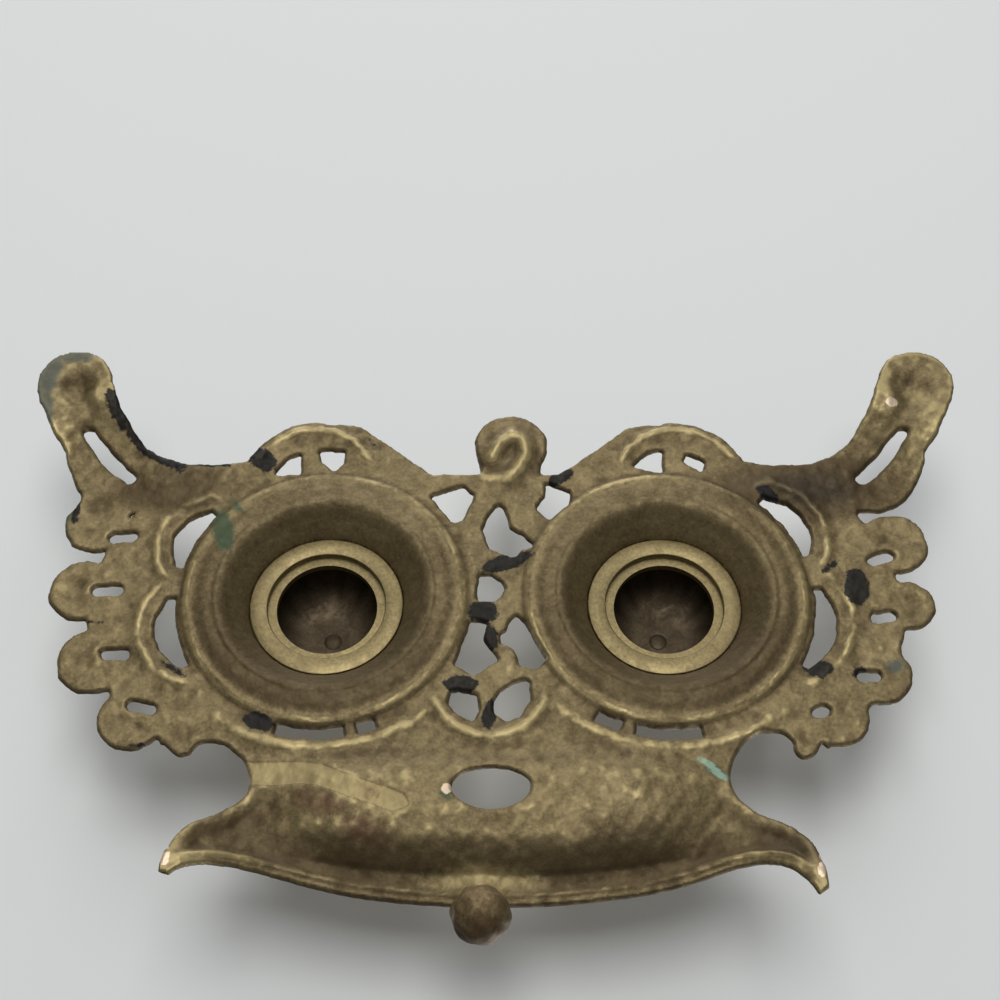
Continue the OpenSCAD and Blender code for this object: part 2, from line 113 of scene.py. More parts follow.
class InkstandSizes(bpy.types.PropertyGroup):
    wall: size("Wall", "Thickness of the cast metal", 2.6)
    flange: size("Flange height", "Height of the casting's underside above the desk", 10)
    saucer: size("Saucer radius", "Radius of the raised rim of each saucer", 38)
    channel: size("Channel radius", "Radius of the lowest line of the drip channel", 32)
    dip: size("Channel dip", "Depth of the drip channel below the casting's level", 3)
    bead: size("Bead height", "Height of the raised lines on the underside", 0.95)
    grain: size("Mesh step", "Distance between the points of the casting's mesh", 0.5)
    tray_drop: size("Tray drop", "Depth of the pen trough below the casting's level", 5)
    lip_rise: size("Lip rise", "Rise of the tray's lip above the casting's level", 3.5)
    ball: size("Ball radius", "Radius of the ball under the lip", 7.8)
    flute: size("Flute depth", "Depth of the flutes in the lids", 0.8)


class InkstandColours(bpy.types.PropertyGroup):
    brass: colour("Brass", "Aged brass of the casting", (126, 110, 76))
    # Dull brass is also the colour of the painted shade
    dull: colour("Dull brass", "Brass in the hollows", (72, 57, 33))
    # Bright brass is also the colour of the painted highlights
    bright: colour("Bright brass", "Brass on worn ridges", (174, 157, 110))
    turned: colour("Turned brass", "Brass of the turned rings", (99, 88, 58))
    ink: colour("Dried ink", "Ink and soot left on the metal", (12, 12, 15))
    verdigris: colour("Verdigris", "Green corrosion", (54, 78, 56))
    bloom: colour("Blue bloom", "Blue grey corrosion", (82, 90, 84))
    chalk: colour("Chalky green", "Pale green corrosion", (146, 170, 150))
    rust: colour("Red stain", "Reddish brown tarnish in the tray", (88, 58, 42))
    bare: colour("Bare metal", "Metal worn bare", (226, 204, 176))
    lid: colour("Lid brass", "Brown brass of the lids", (104, 84, 54))
    pin: colour("Pin", "Dark steel of the hinge pins", (84, 80, 74))
    floor: colour("Floor", "Floor and backdrop", (224, 226, 225))


# Shape tools


def ease(low, high, value):
    """Smooth step from 0 at low to 1 at high: 3t squared less 2t cubed."""
    t = np.clip((value - low) / (high - low), 0, 1)
    return t * t * (3 - 2 * t)


def hump(value, width):
    """Bell curve of the distance from a line: e to the minus (value / width) squared."""
    return np.exp(-(value / width) ** 2)


def polar(angle, radius):
    return radius * math.cos(math.radians(angle)), radius * math.sin(math.radians(angle))


def uneven(x, y, length, seed):
    """Soft unevenness of a hand-finished casting, about -1 to 1: six sine waves of different
    length that cross at the golden angle."""
    total = 0
    for k in range(6):
        turn = seed + 2.4 * k
        wave = length * (0.7 + 0.13 * k)
        total = total + np.sin(2 * math.pi * (x * math.cos(turn) + y * math.sin(turn)) / wave
                               + seed * (k + 1))
    return total / 3


def disc(x, y, spot, radius):
    """Signed distance to a disc: the distance from its middle less its radius."""
    return np.hypot(x - spot[0], y - spot[1]) - radius


def bar(x, y, a, b, ra, rb=None):
    """Signed distance to a bar with round ends: the distance from the line a to b, less a radius
    that goes from ra to rb along it."""
    dx, dy = b[0] - a[0], b[1] - a[1]
    t = np.clip(((x - a[0]) * dx + (y - a[1]) * dy) / (dx * dx + dy * dy), 0, 1)
    return np.hypot(x - a[0] - t * dx, y - a[1] - t * dy) - (ra + ((ra if rb is None else rb) - ra) * t)


def outline(x, y, corners, round_off=0.0):
    """Signed distance to a closed outline: the distance to its nearest edge, negative where a
    level line crosses the edges an odd number of times. The corners are drawn in by round_off
    and the distance is let out by as much, which rounds them."""
    corners = np.array(corners, float)
    if round_off:
        middle = corners.mean(0)
        out = corners - middle
        reach = np.linalg.norm(out, axis=1, keepdims=True)
        corners = middle + out * np.maximum(1 - 1.25 * round_off / reach, 0.2)
    nearest = np.full(np.shape(x), np.inf)
    inside = np.zeros(np.shape(x), bool)
    for a, b in zip(corners, np.roll(corners, -1, 0)):
        nearest = np.minimum(nearest, bar(x, y, a, b, 0))
        if a[1] != b[1]:
            crosses = (a[1] > y) != (b[1] > y)
            inside ^= crosses & (x < a[0] + (b[0] - a[0]) * (y - a[1]) / (b[1] - a[1]))
    return np.where(inside, -nearest, nearest) - round_off


def smoothed(corners):
    """Corners of a closed outline after each is cut back to the quarters of its edges, twice."""
    for _ in range(2):
        a, b = np.array(corners, float), np.roll(np.array(corners, float), -1, 0)
        corners = np.stack([0.75 * a + 0.25 * b, 0.25 * a + 0.75 * b], 1).reshape(-1, 2)
    return corners


def joined(a, b, soft):
    """Signed distance to two shapes together, with a fillet of about soft where they meet."""
    h = np.clip(0.5 + 0.5 * (b - a) / soft, 0, 1)
    return b + (a - b) * h - soft * h * (1 - h)


def cut(a, b, soft):
    """Signed distance to a with b taken away."""
    return -joined(-a, b, soft)


def bent(a, b, c, count):
    """Points of the curve that leaves a towards b and reaches c from b."""
    t = np.linspace(0, 1, count)[:, None]
    a, b, c = (np.array(p, float) for p in (a, b, c))
    return (1 - t) ** 2 * a + 2 * t * (1 - t) * b + t * t * c


def along(x, y, line):
    """For each point the share of the line's length at its nearest spot, the distance to the
    left of the line there, and the plain distance."""
    nearest = np.full(np.shape(x), np.inf)
    share = np.zeros(np.shape(x))
    left = np.zeros(np.shape(x))
    last = len(line) - 1
    for k in range(last):
        a, way = line[k], line[k + 1] - line[k]
        long = np.hypot(*way)
        t = np.clip(((x - a[0]) * way[0] + (y - a[1]) * way[1]) / long ** 2, 0, 1)
        px, py = x - a[0] - t * way[0], y - a[1] - t * way[1]
        reach = np.hypot(px, py)
        closer = reach < nearest
        nearest = np.where(closer, reach, nearest)
        share = np.where(closer, (k + t) / last, share)
        left = np.where(closer, (way[0] * py - way[1] * px) / long, left)
    return share, left, nearest


def band(angle, inner, outer):
    """Corners of a strip round a well: out along the outer radius and back along the inner one,
    at the given angles in degrees."""
    turn = np.radians(angle)
    out, back = (np.stack([WELL_X + reach * np.cos(turn), reach * np.sin(turn)], 1)
                 for reach in (outer, inner))
    return np.concatenate([out, back[::-1]])


def crescent(first, last, saucer):
    """Corners of a crescent beside a saucer: a round inner side, and an outer side that bulges
    with the cosine of the way along it."""
    k = np.linspace(-1, 1, 13)
    bulge = 5 * np.cos(np.radians(80 * k))
    return band((first + last) / 2 + (last - first) / 2 * k, saucer + 3.2, saucer + 4.2 + bulge)


# The casting

TIP_X, TIP_Y, CLAW_LEAN = 81, 81.5, 4.5
TURN_X, LIP_X = TIP_X - 23, TIP_X - 31
BACK = -43.5
HEAD = (-4.5, 50)
BALL = (3.5, -90, 9.8)
HORN = (122.5, 65.5)
OVAL = (1, -58)
# The arc above the tray: its middle and radius
RING, RING_R = (1.5, -27), 15.3
# Hollows at the ends of the horns at +x and -x: middle, and how narrow they are
HOLLOWS = (((121.6, 64.6), 1.25), ((-121.2, 63.4), 1))
# Slots in the horns, each of two bars: both ends and their radii
HORN_SLOTS = (((105, 38), (112, 44), 1.6, 2.1), ((112, 44), (117, 50), 2.1, 1.6))
# A notch in the neck of the horn at +x
HORN_NOTCH = ((103.5, 62), (108.3, 69), 5.4, 2.6)
# Extent of the casting's grid in x and y, how far from its edge the wall is rounded, and a
# distance larger than any on the plan that counts
GRID = ((-135, 135), (-100, 79))
ROUNDING = 1.0
FAR = 99.0
SPIRAL = np.array([(1.4, 45), (0.3, 47.2), (-2.1, 50.3), (-4.6, 52.6), (-7.2, 51.6), (-8.8, 48.7),
                   (-8.7, 44.9), (-7.3, 41.4), (-4.9, 38.8), (-2.3, 37.4), (0.3, 37.4), (3.1, 38.6),
                   (4.7, 40.5)])
# Openings between the wells, as seen in the photograph from left (+x) to right
LATTICE = [
    [(18.1, 32.6), (9.3, 35.6), (6.4, 33.3), (10, 24.2), (11.7, 23.5), (14.6, 26.8)],
    [(-15, 36.7), (-21.3, 33.9), (-20.9, 30.5), (-15.1, 24.8), (-11.8, 28.2), (-14.1, 32.9)],
    [(-1, 29.5), (-2.1, 26.8), (-3.5, 22.5), (-7.5, 19.2), (-10.5, 15.9), (-7.4, 14.6), (-5.7, 12.4),
     (-1.5, 13.3), (1.5, 14.6), (3, 19.2), (3.5, 21.9), (2.4, 25.8)],
    [(4.6, 6.6), (1.5, 6.6), (-1.8, 4.9), (-2.8, 2.2), (-1.6, -0.4), (0.9, -2), (4.8, -1.7)],
    [(6.4, -7.6), (3.1, -8.2), (3.9, -12.8), (-0.7, -20.1), (6.2, -24.3), (10.5, -21.6)],
    [(-3.7, -8.2), (-5.6, -6.3), (-7, -7.3), (-13.4, -20.1), (-11.4, -22.2), (-7.4, -21.9),
     (-5.8, -16.8), (-1.3, -13.7), (-1.5, -11.9), (-3.2, -10.7)],
    [(11.8, -29), (4.8, -29.9), (4.3, -34.8), (5.6, -37.7), (10.1, -36), (12.5, -32.2)],
    [(-1, -29), (-5.5, -26.6), (-9, -26), (-9.5, -31.3), (-6.3, -36.6), (-2.8, -38), (0.3, -35.4),
     (0.6, -32.2)],
]
# Openings of the arches, from the well's middle line and the saucer's rim
ARCHES = {
    1: [[(9.6, 1.9), (9.6, 8.8), (13.2, 8), (16.2, 1.9)],
        [(-0.7, 3.3), (-3, 6), (-3.2, 9.9), (1.2, 10.9), (3.9, 10.1), (3.2, 5.9)]],
    -1: [[(-7.1, 4.5), (0.9, 3), (1.3, 10.2), (-3.7, 9.2)],
         [(8, 9.2), (13.6, 5.9), (12.8, 3.3), (9.1, 4.9), (7.3, 7.3)]],
}
STEP_PATCH = [(68, -49.9), (50, -50.2), (45.6, -50.9), (39.8, -53.6), (31.9, -57.4), (26.7, -59.4),
              (22.8, -61.2), (21.6, -63.4), (25, -64.6), (31.7, -62.2), (38.1, -60.4), (44.6, -57.2),
              (50, -55.3), (68, -55)]
# Bays between the wings and the claws, by side
BAYS = {
    1: [(86.1, -44.9), (84.6, -46.5), (82.9, -47.7), (81.8, -48), (80.3, -47.7), (78.9, -46.3),
        (77.7, -44.8), (76, -43.9), (73.7, -43.8), (70.7, -44.6), (68.2, -46.2), (66, -48.2),
        (64.7, -50.1), (63.5, -53.5), (63.4, -55.2), (64, -58.2), (66.3, -60.6), (68.8, -62.4),
        (71, -64.1), (73.3, -65.5), (75.5, -66.9), (77.7, -68.8), (80, -72.6), (81.4, -78.2),
        (95, -78.2), (95, -50), (90, -47.8), (87.8, -45.6), (87.2, -44.1)],
    -1: [(85.3, -44.1), (84, -46.5), (82.6, -48), (80.4, -48.7), (78.7, -47.7), (77.8, -45.7),
         (77.8, -43.3), (76.6, -42), (75.3, -41.1), (73.6, -40.9), (71.7, -40.9), (69.1, -41.4),
         (67, -42.6), (65.2, -44), (63.6, -45.8), (62.4, -47.8), (61.5, -50.1), (61, -51.9),
         (60.8, -54.4), (61.4, -57), (62.8, -59.4), (65, -61.8), (68.6, -64), (72.1, -65.7),
         (75.4, -68), (78.5, -71.7), (80.2, -76), (80.9, -81.7), (95, -81.7), (95, -50), (88, -46.3),
         (85.9, -44.6)],
}
# Places on the claws' tips that are ground bare
FACETS = [
    [(81.9, -77.8), (79.7, -77.6), (79.6, -79.1), (80.2, -81.1), (81.6, -81)],
    [(81.8, -75.8), (80.2, -75.8), (80, -76.9), (81.7, -77)],
    [(-79.7, -79.8), (-80.9, -80), (-81, -81.8), (-80.5, -83.7), (-79.6, -84.4), (-78.7, -83.3),
     (-78.7, -81.8)],
    [(-80.2, -76.9), (-80.7, -79.4), (-79.8, -79.4), (-79.6, -78.5)],
]
# Marks on the underside by kind: x, y, half length, half width, turn in degrees, strength. Most kinds are
# stains and wear; the last two are painted light: patches of painted shade on the tray, the claws and the
# roots of the wings and horns, and patches of painted highlight on the lip, the horns' dishes and the wings.
MARKS = {
    "ink": [(98, 46, 12, 2.8, 36, 1.2), (109, 57, 8, 3, 62, 1.1), (84, 42, 10, 1.4, 4, 0.9),
        (68, 45, 6, 3.4, 40, 1.3), (36, 51, 4, 1.2, 45, 0.6), (-18.5, 38.6, 4, 2.2, -30, 1.4),
        (-3, 10.4, 7, 2.4, -18, 1.6), (3.2, -5.2, 4.2, 3.2, 0, 1.5), (1.5, -13, 2.4, 5, -12, 1.1),
        (9.2, -27.4, 4.4, 2.6, 0, 1.5), (1.6, -36, 2.2, 4.6, 10, 1.2), (62.3, -38.3, 4.4, 2.4, 20, 1.4),
        (-99.5, 2.2, 3.4, 6, 5, 1.5), (-77.6, 32.4, 3.8, 1.8, 35, 1.3), (-86.5, -22.6, 4.2, 3, 10, 1.2),
        (-93, 9, 5, 1.6, -40, 0.7), (119, 27, 1.6, 7, 0, 0.8), (-97.5, -23.6, 3.4, 2.6, 0, 0.8),
        (86.5, -22.5, 7, 1.6, 35, 0.7), (109, -8.5, 6, 1, 0, 0.6), (-8, 17, 3, 1.2, -30, 0.8),
        (92, -45, 9, 1.2, 3, 0.7)],
    "verdigris": [(76.4, 19.8, 3, 8.2, -14, 1.5), (73.5, 28, 2, 4, -25, 0.8),
        (-56.8, -52.2, 5, 2.2, 32, 0.9), (12.4, -60.4, 2.4, 2.4, 0, 0.9), (121, 24, 1.8, 6, 0, 0.7)],
    "bloom": [(131, 68, 4, 11, 8, 1.4), (124, 75, 9, 3, 0, 1.1), (129.5, 56, 3, 7, -10, 1),
        (120.5, 29, 2, 7, 0, 0.7), (-107.2, -21.6, 3.4, 3, 0, 0.8)],
    "rust": [(45, -62, 11, 4, 22, 0.9), (34, -69, 8, 4, 15, 1), (31, -60, 7, 3, 30, 0.6),
        (57, -64, 8, 5, 0, 0.5), (-107.2, -21.6, 3, 2.6, 0, 0.6), (-28, -68, 14, 5, 0, 0.45)],
    "chalk": [(-56.3, -51.6, 4.8, 0.9, 35, 1.1), (-55.2, -49.8, 2.6, 0.7, 30, 0.9),
        (-57.5, -53.4, 3.4, 0.8, 32, 0.9)],
    "bare": [(-114.6, 58.8, 2, 1.5, 0, 1.5), (12.3, -58.9, 1.7, 1.7, 0, 1.3),
        (120.8, 1, 1.2, 1.2, 0, 0.5)],
    # Painted shade, where the metal turns away from the light
    "dark": [(26, -76, 20, 5, 8, 0.9), (-36, -71, 26, 6, -10, 0.8), (62, -68, 12, 6, -30, 0.7),
        (96, 33, 20, 7, 5, 1), (-92, 33, 22, 9, -5, 1.5), (4, -66, 9, 5, 0, 0.3),
        (112, 30, 6, 5, 0, 0.7), (-70, -71, 10, 5, 30, 0.9), (0, -49, 50, 4, 0, 0.35),
        (71, -69, 10, 4.5, -30, 0.8), (-73, -73, 12, 5.5, 32, 1.1), (-88, 36, 26, 9, -3, 1.4),
        (-104, 40, 9, 7, 30, 0.9), (88, 36, 22, 8, 3, 0.9)],
    # Painted highlights, where the metal faces the light
    "light": [(3, -80.5, 15, 3.4, 0, 0.9), (3.5, -84, 8, 3, 0, 0.8), (-122.5, 61, 5, 4, 0, 0.7),
        (122.5, 62, 4.4, 4, 0, 0.45), (117, 15, 4, 5, -30, 0.5), (119.5, 2.5, 2, 1.6, 0, 0.8),
        (90, -38, 9, 3, 0, 0.3), (-104, -38, 8, 1.6, 20, 0.4), (-96, 14, 3, 8, 20, 0.35)],
}


def marks(x, y, spots):
    """Strength of a list of soft oval marks: each falls off as a bell curve of the oval's own
    radius, and the strongest counts."""
    total = np.zeros(np.shape(x))
    for cx, cy, half_long, half_wide, turn, strength in spots:
        c, s = math.cos(math.radians(turn)), math.sin(math.radians(turn))
        u = ((x - cx) * c + (y - cy) * s) / half_long
        v = ((y - cy) * c - (x - cx) * s) / half_wide
        total = np.maximum(total, strength * np.exp(-(u * u + v * v)))
    return total


def tray_edges(side):
    """Back edge and lip of one half of the tray, station by station: straight or slightly drawn
    back in the middle, then curves that turn forward and meet in the claw's tip."""
    if side > 0:
        tip, hook, thin = np.array([TIP_X + 1.2, -TIP_Y - 0.9]), (TIP_X - 8.5, -77), 0.9
    else:
        tip, hook, thin = np.array([TIP_X + 0.3, -TIP_Y - CLAW_LEAN - 0.6]), (TIP_X - 10, -72.8), 1.8
    middle = np.linspace(-0.3, 0.59, 60)[:, None] / 0.6
    back = np.concatenate([np.hstack([middle * TURN_X, np.full((60, 1), BACK)]),
                           bent((TURN_X, BACK), (TIP_X + 1.3, BACK - 22.5), tip, 120)])
    edge = -87 + 10 * (LIP_X / 68) ** 2
    t = np.linspace(0, 1, 120)[:, None]
    start, rise = (LIP_X, edge), (LIP_X + 9, edge + 2.6)
    lip = (1 - t) * bent(start, rise, hook, 120) + t * bent(rise, hook, tip - (2.6, thin), 120)
    lip = np.concatenate([np.hstack([middle * LIP_X, -87 + 10 * (middle * LIP_X / 68) ** 2]), lip])
    return back, lip


def tray_place(x, y):
    """For each point of the tray and its claws: the place across from the back edge (0) to the lip
    (1), the distance from the lip, the distance from the claw's tip and the signed distance."""
    halves = []
    for side in (1, -1):
        u = side * x
        back, lip = tray_edges(side)
        back_y, lip_y = (np.interp(u, edge[:, 0], edge[:, 1]) for edge in (back, lip))
        halves.append(((back_y - y) / np.maximum(back_y - lip_y, 1), along(u, y, lip)[2],
                       np.hypot(u - back[-1, 0] + 1, y - back[-1, 1]),
                       outline(u, y, np.concatenate([back, lip[::-1]]))))
    return [np.where(x > 0, right, left) for right, left in zip(*halves)]


def horn_place(out, y):
    """For each point the share of the way along a horn's middle line, the distance to the left of
    it and the signed distance to the horn, which swells on its right side near the root."""
    way, left, reach = along(out, y, bent((WELL_X + 39, 34), (WELL_X + 65, 34), HORN, 120))
    root = 4.5 * np.sin(np.pi * np.clip((way - 0.25) / 0.45, 0, 1)) * (left < 0)
    return way, left, reach - (8 + 3 * way) - root


def wings(x, y, sizes, metal, horn):
    """Both wings with their lobes, arches and openings, joined to the middle of the stand. Gives
    the signed distances to the metal and to the openings, the relief on each face, which is the
    highest of its raised lines, and how far each point lies inside a lobe."""
    saucer, bead = sizes.saucer / MM, sizes.bead / MM
    holes = np.full(np.shape(x), FAR)
    under, over, rise = np.zeros((3, *np.shape(x)))
    for side in (1, -1):
        u = side * x
        wing = disc(u, y, (WELL_X + 19, -2), saucer + 8)
        for angle, reach, lobe_r in LOBES[side]:
            dx, dy = polar(angle, saucer + reach)
            lobe = disc(u, y, (WELL_X + dx, dy), lobe_r)
            wing = joined(wing, lobe, 1.4)
            rise = np.maximum(rise, ease(-2, -lobe_r * 0.75, lobe))
            for lean in (-24, 0, 24):
                tx, ty = polar(angle + lean, lobe_r - 2.2)
                vein = bar(u, y, (WELL_X + dx - 3, dy), (WELL_X + dx + tx, dy + ty), 0)
                over = np.maximum(over, 0.5 * hump(vein, 0.7))
        rim = disc(u, y, (WELL_X + 5.5, saucer), 20)
        wing = joined(wing, np.where(u > 60, horn, FAR), 3)
        shoulder = bar(u, y, (WELL_X - 5, saucer + 12), (23, saucer - 4), 7, 7.6)
        wing = joined(wing, joined(rim, shoulder, 3), 1.5)
        wing = joined(wing, disc(u, y, (WELL_X, 0), saucer + 2.6), 1)
        metal = joined(metal, wing, 1)
        outside = ease(saucer + 3.5, saucer + 8, np.hypot(u - WELL_X, y))
        soft = 0.7 + 0.3 * uneven(x, y, 11, 1.9)
        for first, last in CRESCENTS[side]:
            hole = outline(u, y, crescent(first, last, saucer))
            holes = np.minimum(holes, hole)
            under = np.maximum(under, 1.05 * bead * hump(hole - 4.2, 1.7) * outside * soft)
            under = under - 0.45 * hump(hole - 1.2, 1.7) * outside
        for first, last in UNDERS[side]:
            corners = band(np.linspace(first, last, 9), saucer + 1.8, saucer + 5)
            holes = np.minimum(holes, outline(u, y, corners))
        for angle, reach, length, tilt in SLOTS[side]:
            cx, cy = polar(angle, saucer + reach)
            tx, ty = polar(tilt, length / 2 - 1.5)
            slot = bar(u, y, (WELL_X + cx - tx, cy - ty), (WELL_X + cx + tx, cy + ty), 1.5)
            holes = np.minimum(holes, slot)
            over = np.maximum(over, 0.5 * hump(slot - 1.3, 0.6))
        for corners in ARCHES[side]:
            holes = np.minimum(holes, outline(u, y, [(WELL_X + a, saucer + b) for a, b in corners], 0.8))
        line = hump(rim + 3, 1.5) * ease(42, 47, y) * (0.8 + 0.2 * uneven(x, y, 14, 3.9))
        under = np.maximum(under, 1.3 * bead * line)
        over = np.maximum(over, 0.8 * hump(rim + 2.2, 1.0) * ease(44, 49, y))
    return metal, holes, under, over, rise


def tray_relief(x, y, sizes, metal, place):
    """Where the tray is, the lift of its wall's middle and its relief under and over: a trough
    that rises to the lip, claws that drop to the desk with a scoop in them, a ridge and a fine
    groove along the lip, and a swelling at the ball."""
    across, from_lip, from_tip, tray = place
    out = np.abs(x)
    claw = ease(46, 62, out)
    deep = np.sin(np.pi * np.clip(across / 0.82, 0, 1)) * ease(-0.06, 0.3, across)
    trough = sizes.lip_rise / MM * ease(0.6, 0.93, across) - sizes.tray_drop / MM * deep
    drop = (sizes.flange / MM + 0.3) * (1 - ease(1, 27, from_tip))
    scoop = 1.7 * claw * ease(3, 11, from_tip) * ease(1, 5.5, -metal) * ease(-54, -62, y)
    ridge = (0.5 + 0.7 * claw * ease(7, 13, from_tip)) * hump(from_lip - 2.9, 1)
    ledge = ridge - 0.5 * hump(from_lip - 1.25, 0.35) * ease(6, 12, from_tip)
    ledge = ledge + 2.4 * hump(np.hypot(x - BALL[0], 0.8 * (y + 85)), 4.6)
    on_tray = (1 - ease(1, 5, tray)) * ease(BACK + 0.5, BACK - 0.5, y)
    lift = (1 - ease(34, 62, out)) * trough - drop + scoop
    return on_tray, lift, ledge, 0.8 * hump(from_lip - 1.4, 0.8)


def saucer_relief(x, y, sizes, middle, under, over):
    """The two saucers: a quarter sine from the rim down to the drip channel, and from there up to
    the collar's land a half cosine above and a mix of cosine and parabola below. Gives the wall's
    middle, its thickening, and the relief under and over with each rim's bead and groove."""
    saucer, channel, dip, wall, flange, bead = (
        getattr(sizes, key) / MM for key in ("saucer", "channel", "dip", "wall", "flange", "bead"))
    across = np.abs(x) - WELL_X
    radius = np.hypot(across, y)
    climb = LAND_TOP - wall - flange + dip
    outside = -dip * np.sin(np.pi / 2 * np.clip((saucer - radius) / (saucer - channel), 0, 1))
    up = np.clip((channel - radius) / (channel - 25.5), 0, 1)
    top = -dip + climb * (1 - np.cos(np.pi * up)) / 2
    top = flange + wall / 2 + np.where(radius < channel, top, outside)
    up = np.clip((channel - 1 - radius) / (channel - COLLAR_R - 1.6), 0, 1)
    low = -dip + climb * (0.4 * (1 - np.cos(np.pi * up)) / 2 + 0.6 * up ** 2)
    low = flange + wall / 2 + np.where(radius < channel, low, outside)
    low = low + 0.9 * ease(saucer, saucer - 4, radius) * ease(24, 30, radius)
    top = np.maximum(top, low)
    middle = np.where(radius < saucer, (top + low) / 2, middle)
    fat = np.where(radius < saucer, (top - low) / 2, 0)
    rim = radius - saucer
    under = np.maximum(under, 1.25 * bead * hump(rim - 0.2, 1.2) * (0.8 + 0.2 * uneven(x, y, 24, 0.9)))
    under = under - 0.65 * hump(rim - 2.4, 0.8) * (0.7 + 0.3 * uneven(x, y, 17, 2.9))
    over = np.maximum(over, 0.8 * hump(rim - 0.6, 1.0) + 0.4 * hump(rim + 2.2, 0.7))
    angle = np.degrees(np.arctan2(y, across))
    window = ease(-144, -116, angle) * (1 - ease(-66, -38, angle))
    under = np.maximum(under, 1.05 * bead * hump(rim - 7.6, 2) * window)
    return middle, fat, under, over


def casting_fields(x, y, sizes):
    """Everything the casting is on a grid of plan points: metal (signed distance to its outline),
    middle and half thickening (fat) of its wall, under and over (relief on each face) and the
    marks, among them painted shade and painted highlights."""
    saucer, wall = sizes.saucer / MM, sizes.wall / MM
    bead = sizes.bead / MM
    rag = (0.2 * uneven(x, y, 7, 1.3) + 0.08 * uneven(x, y, 2.6, 4.1)) * (0.25 + 0.75 * ease(-54, -46, y))
    out = np.abs(x)
    from_well = np.hypot(out - WELL_X, y)
    horn_way, horn_left, horn = horn_place(out, y)

    metal = np.maximum(out - 32.9, np.abs(y + 3) - 43)
    metal = joined(metal, np.maximum(out - 64, np.abs(y + 39) - 7), 0.5)
    metal = joined(metal, disc(x, y, HEAD, 10.6), 3)
    metal = joined(metal, bar(x, y, (-4.3, 50), (-4.3, 34), 8), 3)
    metal, holes, under, over, lobes_rise = wings(x, y, sizes, metal, horn)
    for slot in HORN_SLOTS:
        holes = np.minimum(holes, bar(out, y, *slot))
    for corners in LATTICE:
        holes = np.minimum(holes, outline(x, y, corners, 0.9))
    place = tray_place(x, y)
    metal = cut(metal, bar(x, y, *HORN_NOTCH), 3)
    metal = joined(metal, place[3], 0.6)
    metal = joined(metal, disc(out, y, (62, -47), 5), 0.6)
    for side in (1, -1):
        metal = cut(metal, outline(side * x, y, smoothed(BAYS[side])), 0.3)
    holes = np.minimum(holes, (np.hypot((x - OVAL[0]) / 10, (y - OVAL[1]) / 6) - 1) * 7)
    metal = cut(metal + rag * ease(-6, 0, metal), holes + rag, 0.5)
    metal = np.maximum(metal, COLLAR_R + 0.05 - from_well)

    middle = np.full(np.shape(x), sizes.flange / MM + wall / 2)
    bowl = np.where(x > 0, *(narrow * disc(x, y, spot, 0) for spot, narrow in HOLLOWS))
    dish = 2.5 * (1 - ease(1.5, 9.6, bowl))
    groove = 1.9 * ease(0.4, 0.8, horn_way) * (1 - ease(0.84, 1, horn_way)) * hump(horn_left, 4.2)
    on_horn = (1 - ease(0, 6, horn)) * ease(84, 90, out) * ease(16, 26, y)
    middle = middle + on_horn * (dish + groove - (sizes.flange / MM + 0.4) * ease(0.42, 0.92, horn_way))
    on_tray, lift, ledge, lip = tray_relief(x, y, sizes, metal, place)
    middle = middle + on_tray * lift
    under = under + on_tray * ledge
    over = over + on_tray * lip
    middle, fat, under, over = saucer_relief(x, y, sizes, middle, under, over)

    angle = np.degrees(np.arctan2(y - RING[1], x - RING[0])) % 360
    window = ease(178, 206, angle) * (1 - ease(332, 358, angle))
    under = np.maximum(under, 1.1 * bead * hump(disc(x, y, RING, RING_R), 1.9) * window)
    coil_way, _, coil = along(x, y, SPIRAL)
    head = ease(11, 3, np.hypot(x - HEAD[0], (y - HEAD[1] + 3) * 0.85))
    under = under + (1.7 - 0.7 * coil_way) * hump(coil, 2.1)
    under = under + (1.2 - 0.5 * hump(coil - 3.8, 1.4)) * head
    over = over + 0.9 * hump(coil, 1.2)
    flat = ease(saucer + 1, saucer + 4, from_well)
    sunk = 0.5 * lobes_rise * ease(1, 4, -metal) * flat * (y > -50)
    roots = 2.2 * ease(24, 42, y) * ease(66, 80, out) * (1 - ease(96, 112, out))
    middle = middle + sunk - roots + flat * (0.22 * uneven(x, y, 15, 2.2) + 0.12 * uneven(x, y, 5.5, 0.7))
    under = under + 0.07 * uneven(x, y, 4.2, 5.2) + 0.05 * uneven(x, y, 2.1, 1.2)
    over = over + 0.5 * hump(-metal - 1.7, 0.7) * flat * (y > BACK)

    fields = {key: marks(x, y, spots) for key, spots in MARKS.items()}
    pale = 1 - ease(-0.3, 0.3, outline(x, y, STEP_PATCH, 0.8))
    under = under - 0.28 * pale
    under = under + 0.3 * ease(0.45, 0.8, fields["ink"]) * (0.6 + 0.4 * uneven(x, y, 1.9, 3.3))
    # Painted shade: a dark band on the tray's lower half towards the lip, and the inside of each saucer,
    # deeper towards -y
    shade = ease(0.5, 0.78, place[0]) * (1 - ease(0.94, 0.985, place[0])) * (pale < 0.5)
    shade = shade * on_tray * (1 - ease(54, 70, out))
    within = ease(37.6, 35, from_well)
    for tone in (0.8 * shade, within * (0.42 + 0.34 * ease(14, -22, y))):
        fields["dark"] = np.maximum(fields["dark"], tone)
    for corners in FACETS:
        fields["bare"] = np.maximum(fields["bare"], 1.3 * ease(0.3, -0.3, outline(x, y, corners)))
    return {**fields, "metal": metal, "middle": middle, "fat": fat, "under": under, "over": over,
            "pale": pale, "saucer": within}


def softened(field, reach):
    """Mean of a grid over a square window of the given half width in cells, twice."""
    for axis in (0, 1, 0, 1):
        padded = np.concatenate([np.repeat(field.take([0], axis), reach + 1, axis), field,
                                 np.repeat(field.take([-1], axis), reach, axis)], axis)
        total = np.cumsum(padded, axis)
        count = field.shape[axis]
        high = total.take(np.arange(2 * reach + 1, 2 * reach + 1 + count), axis)
        field = (high - total.take(np.arange(count), axis)) / (2 * reach + 1)
    return field


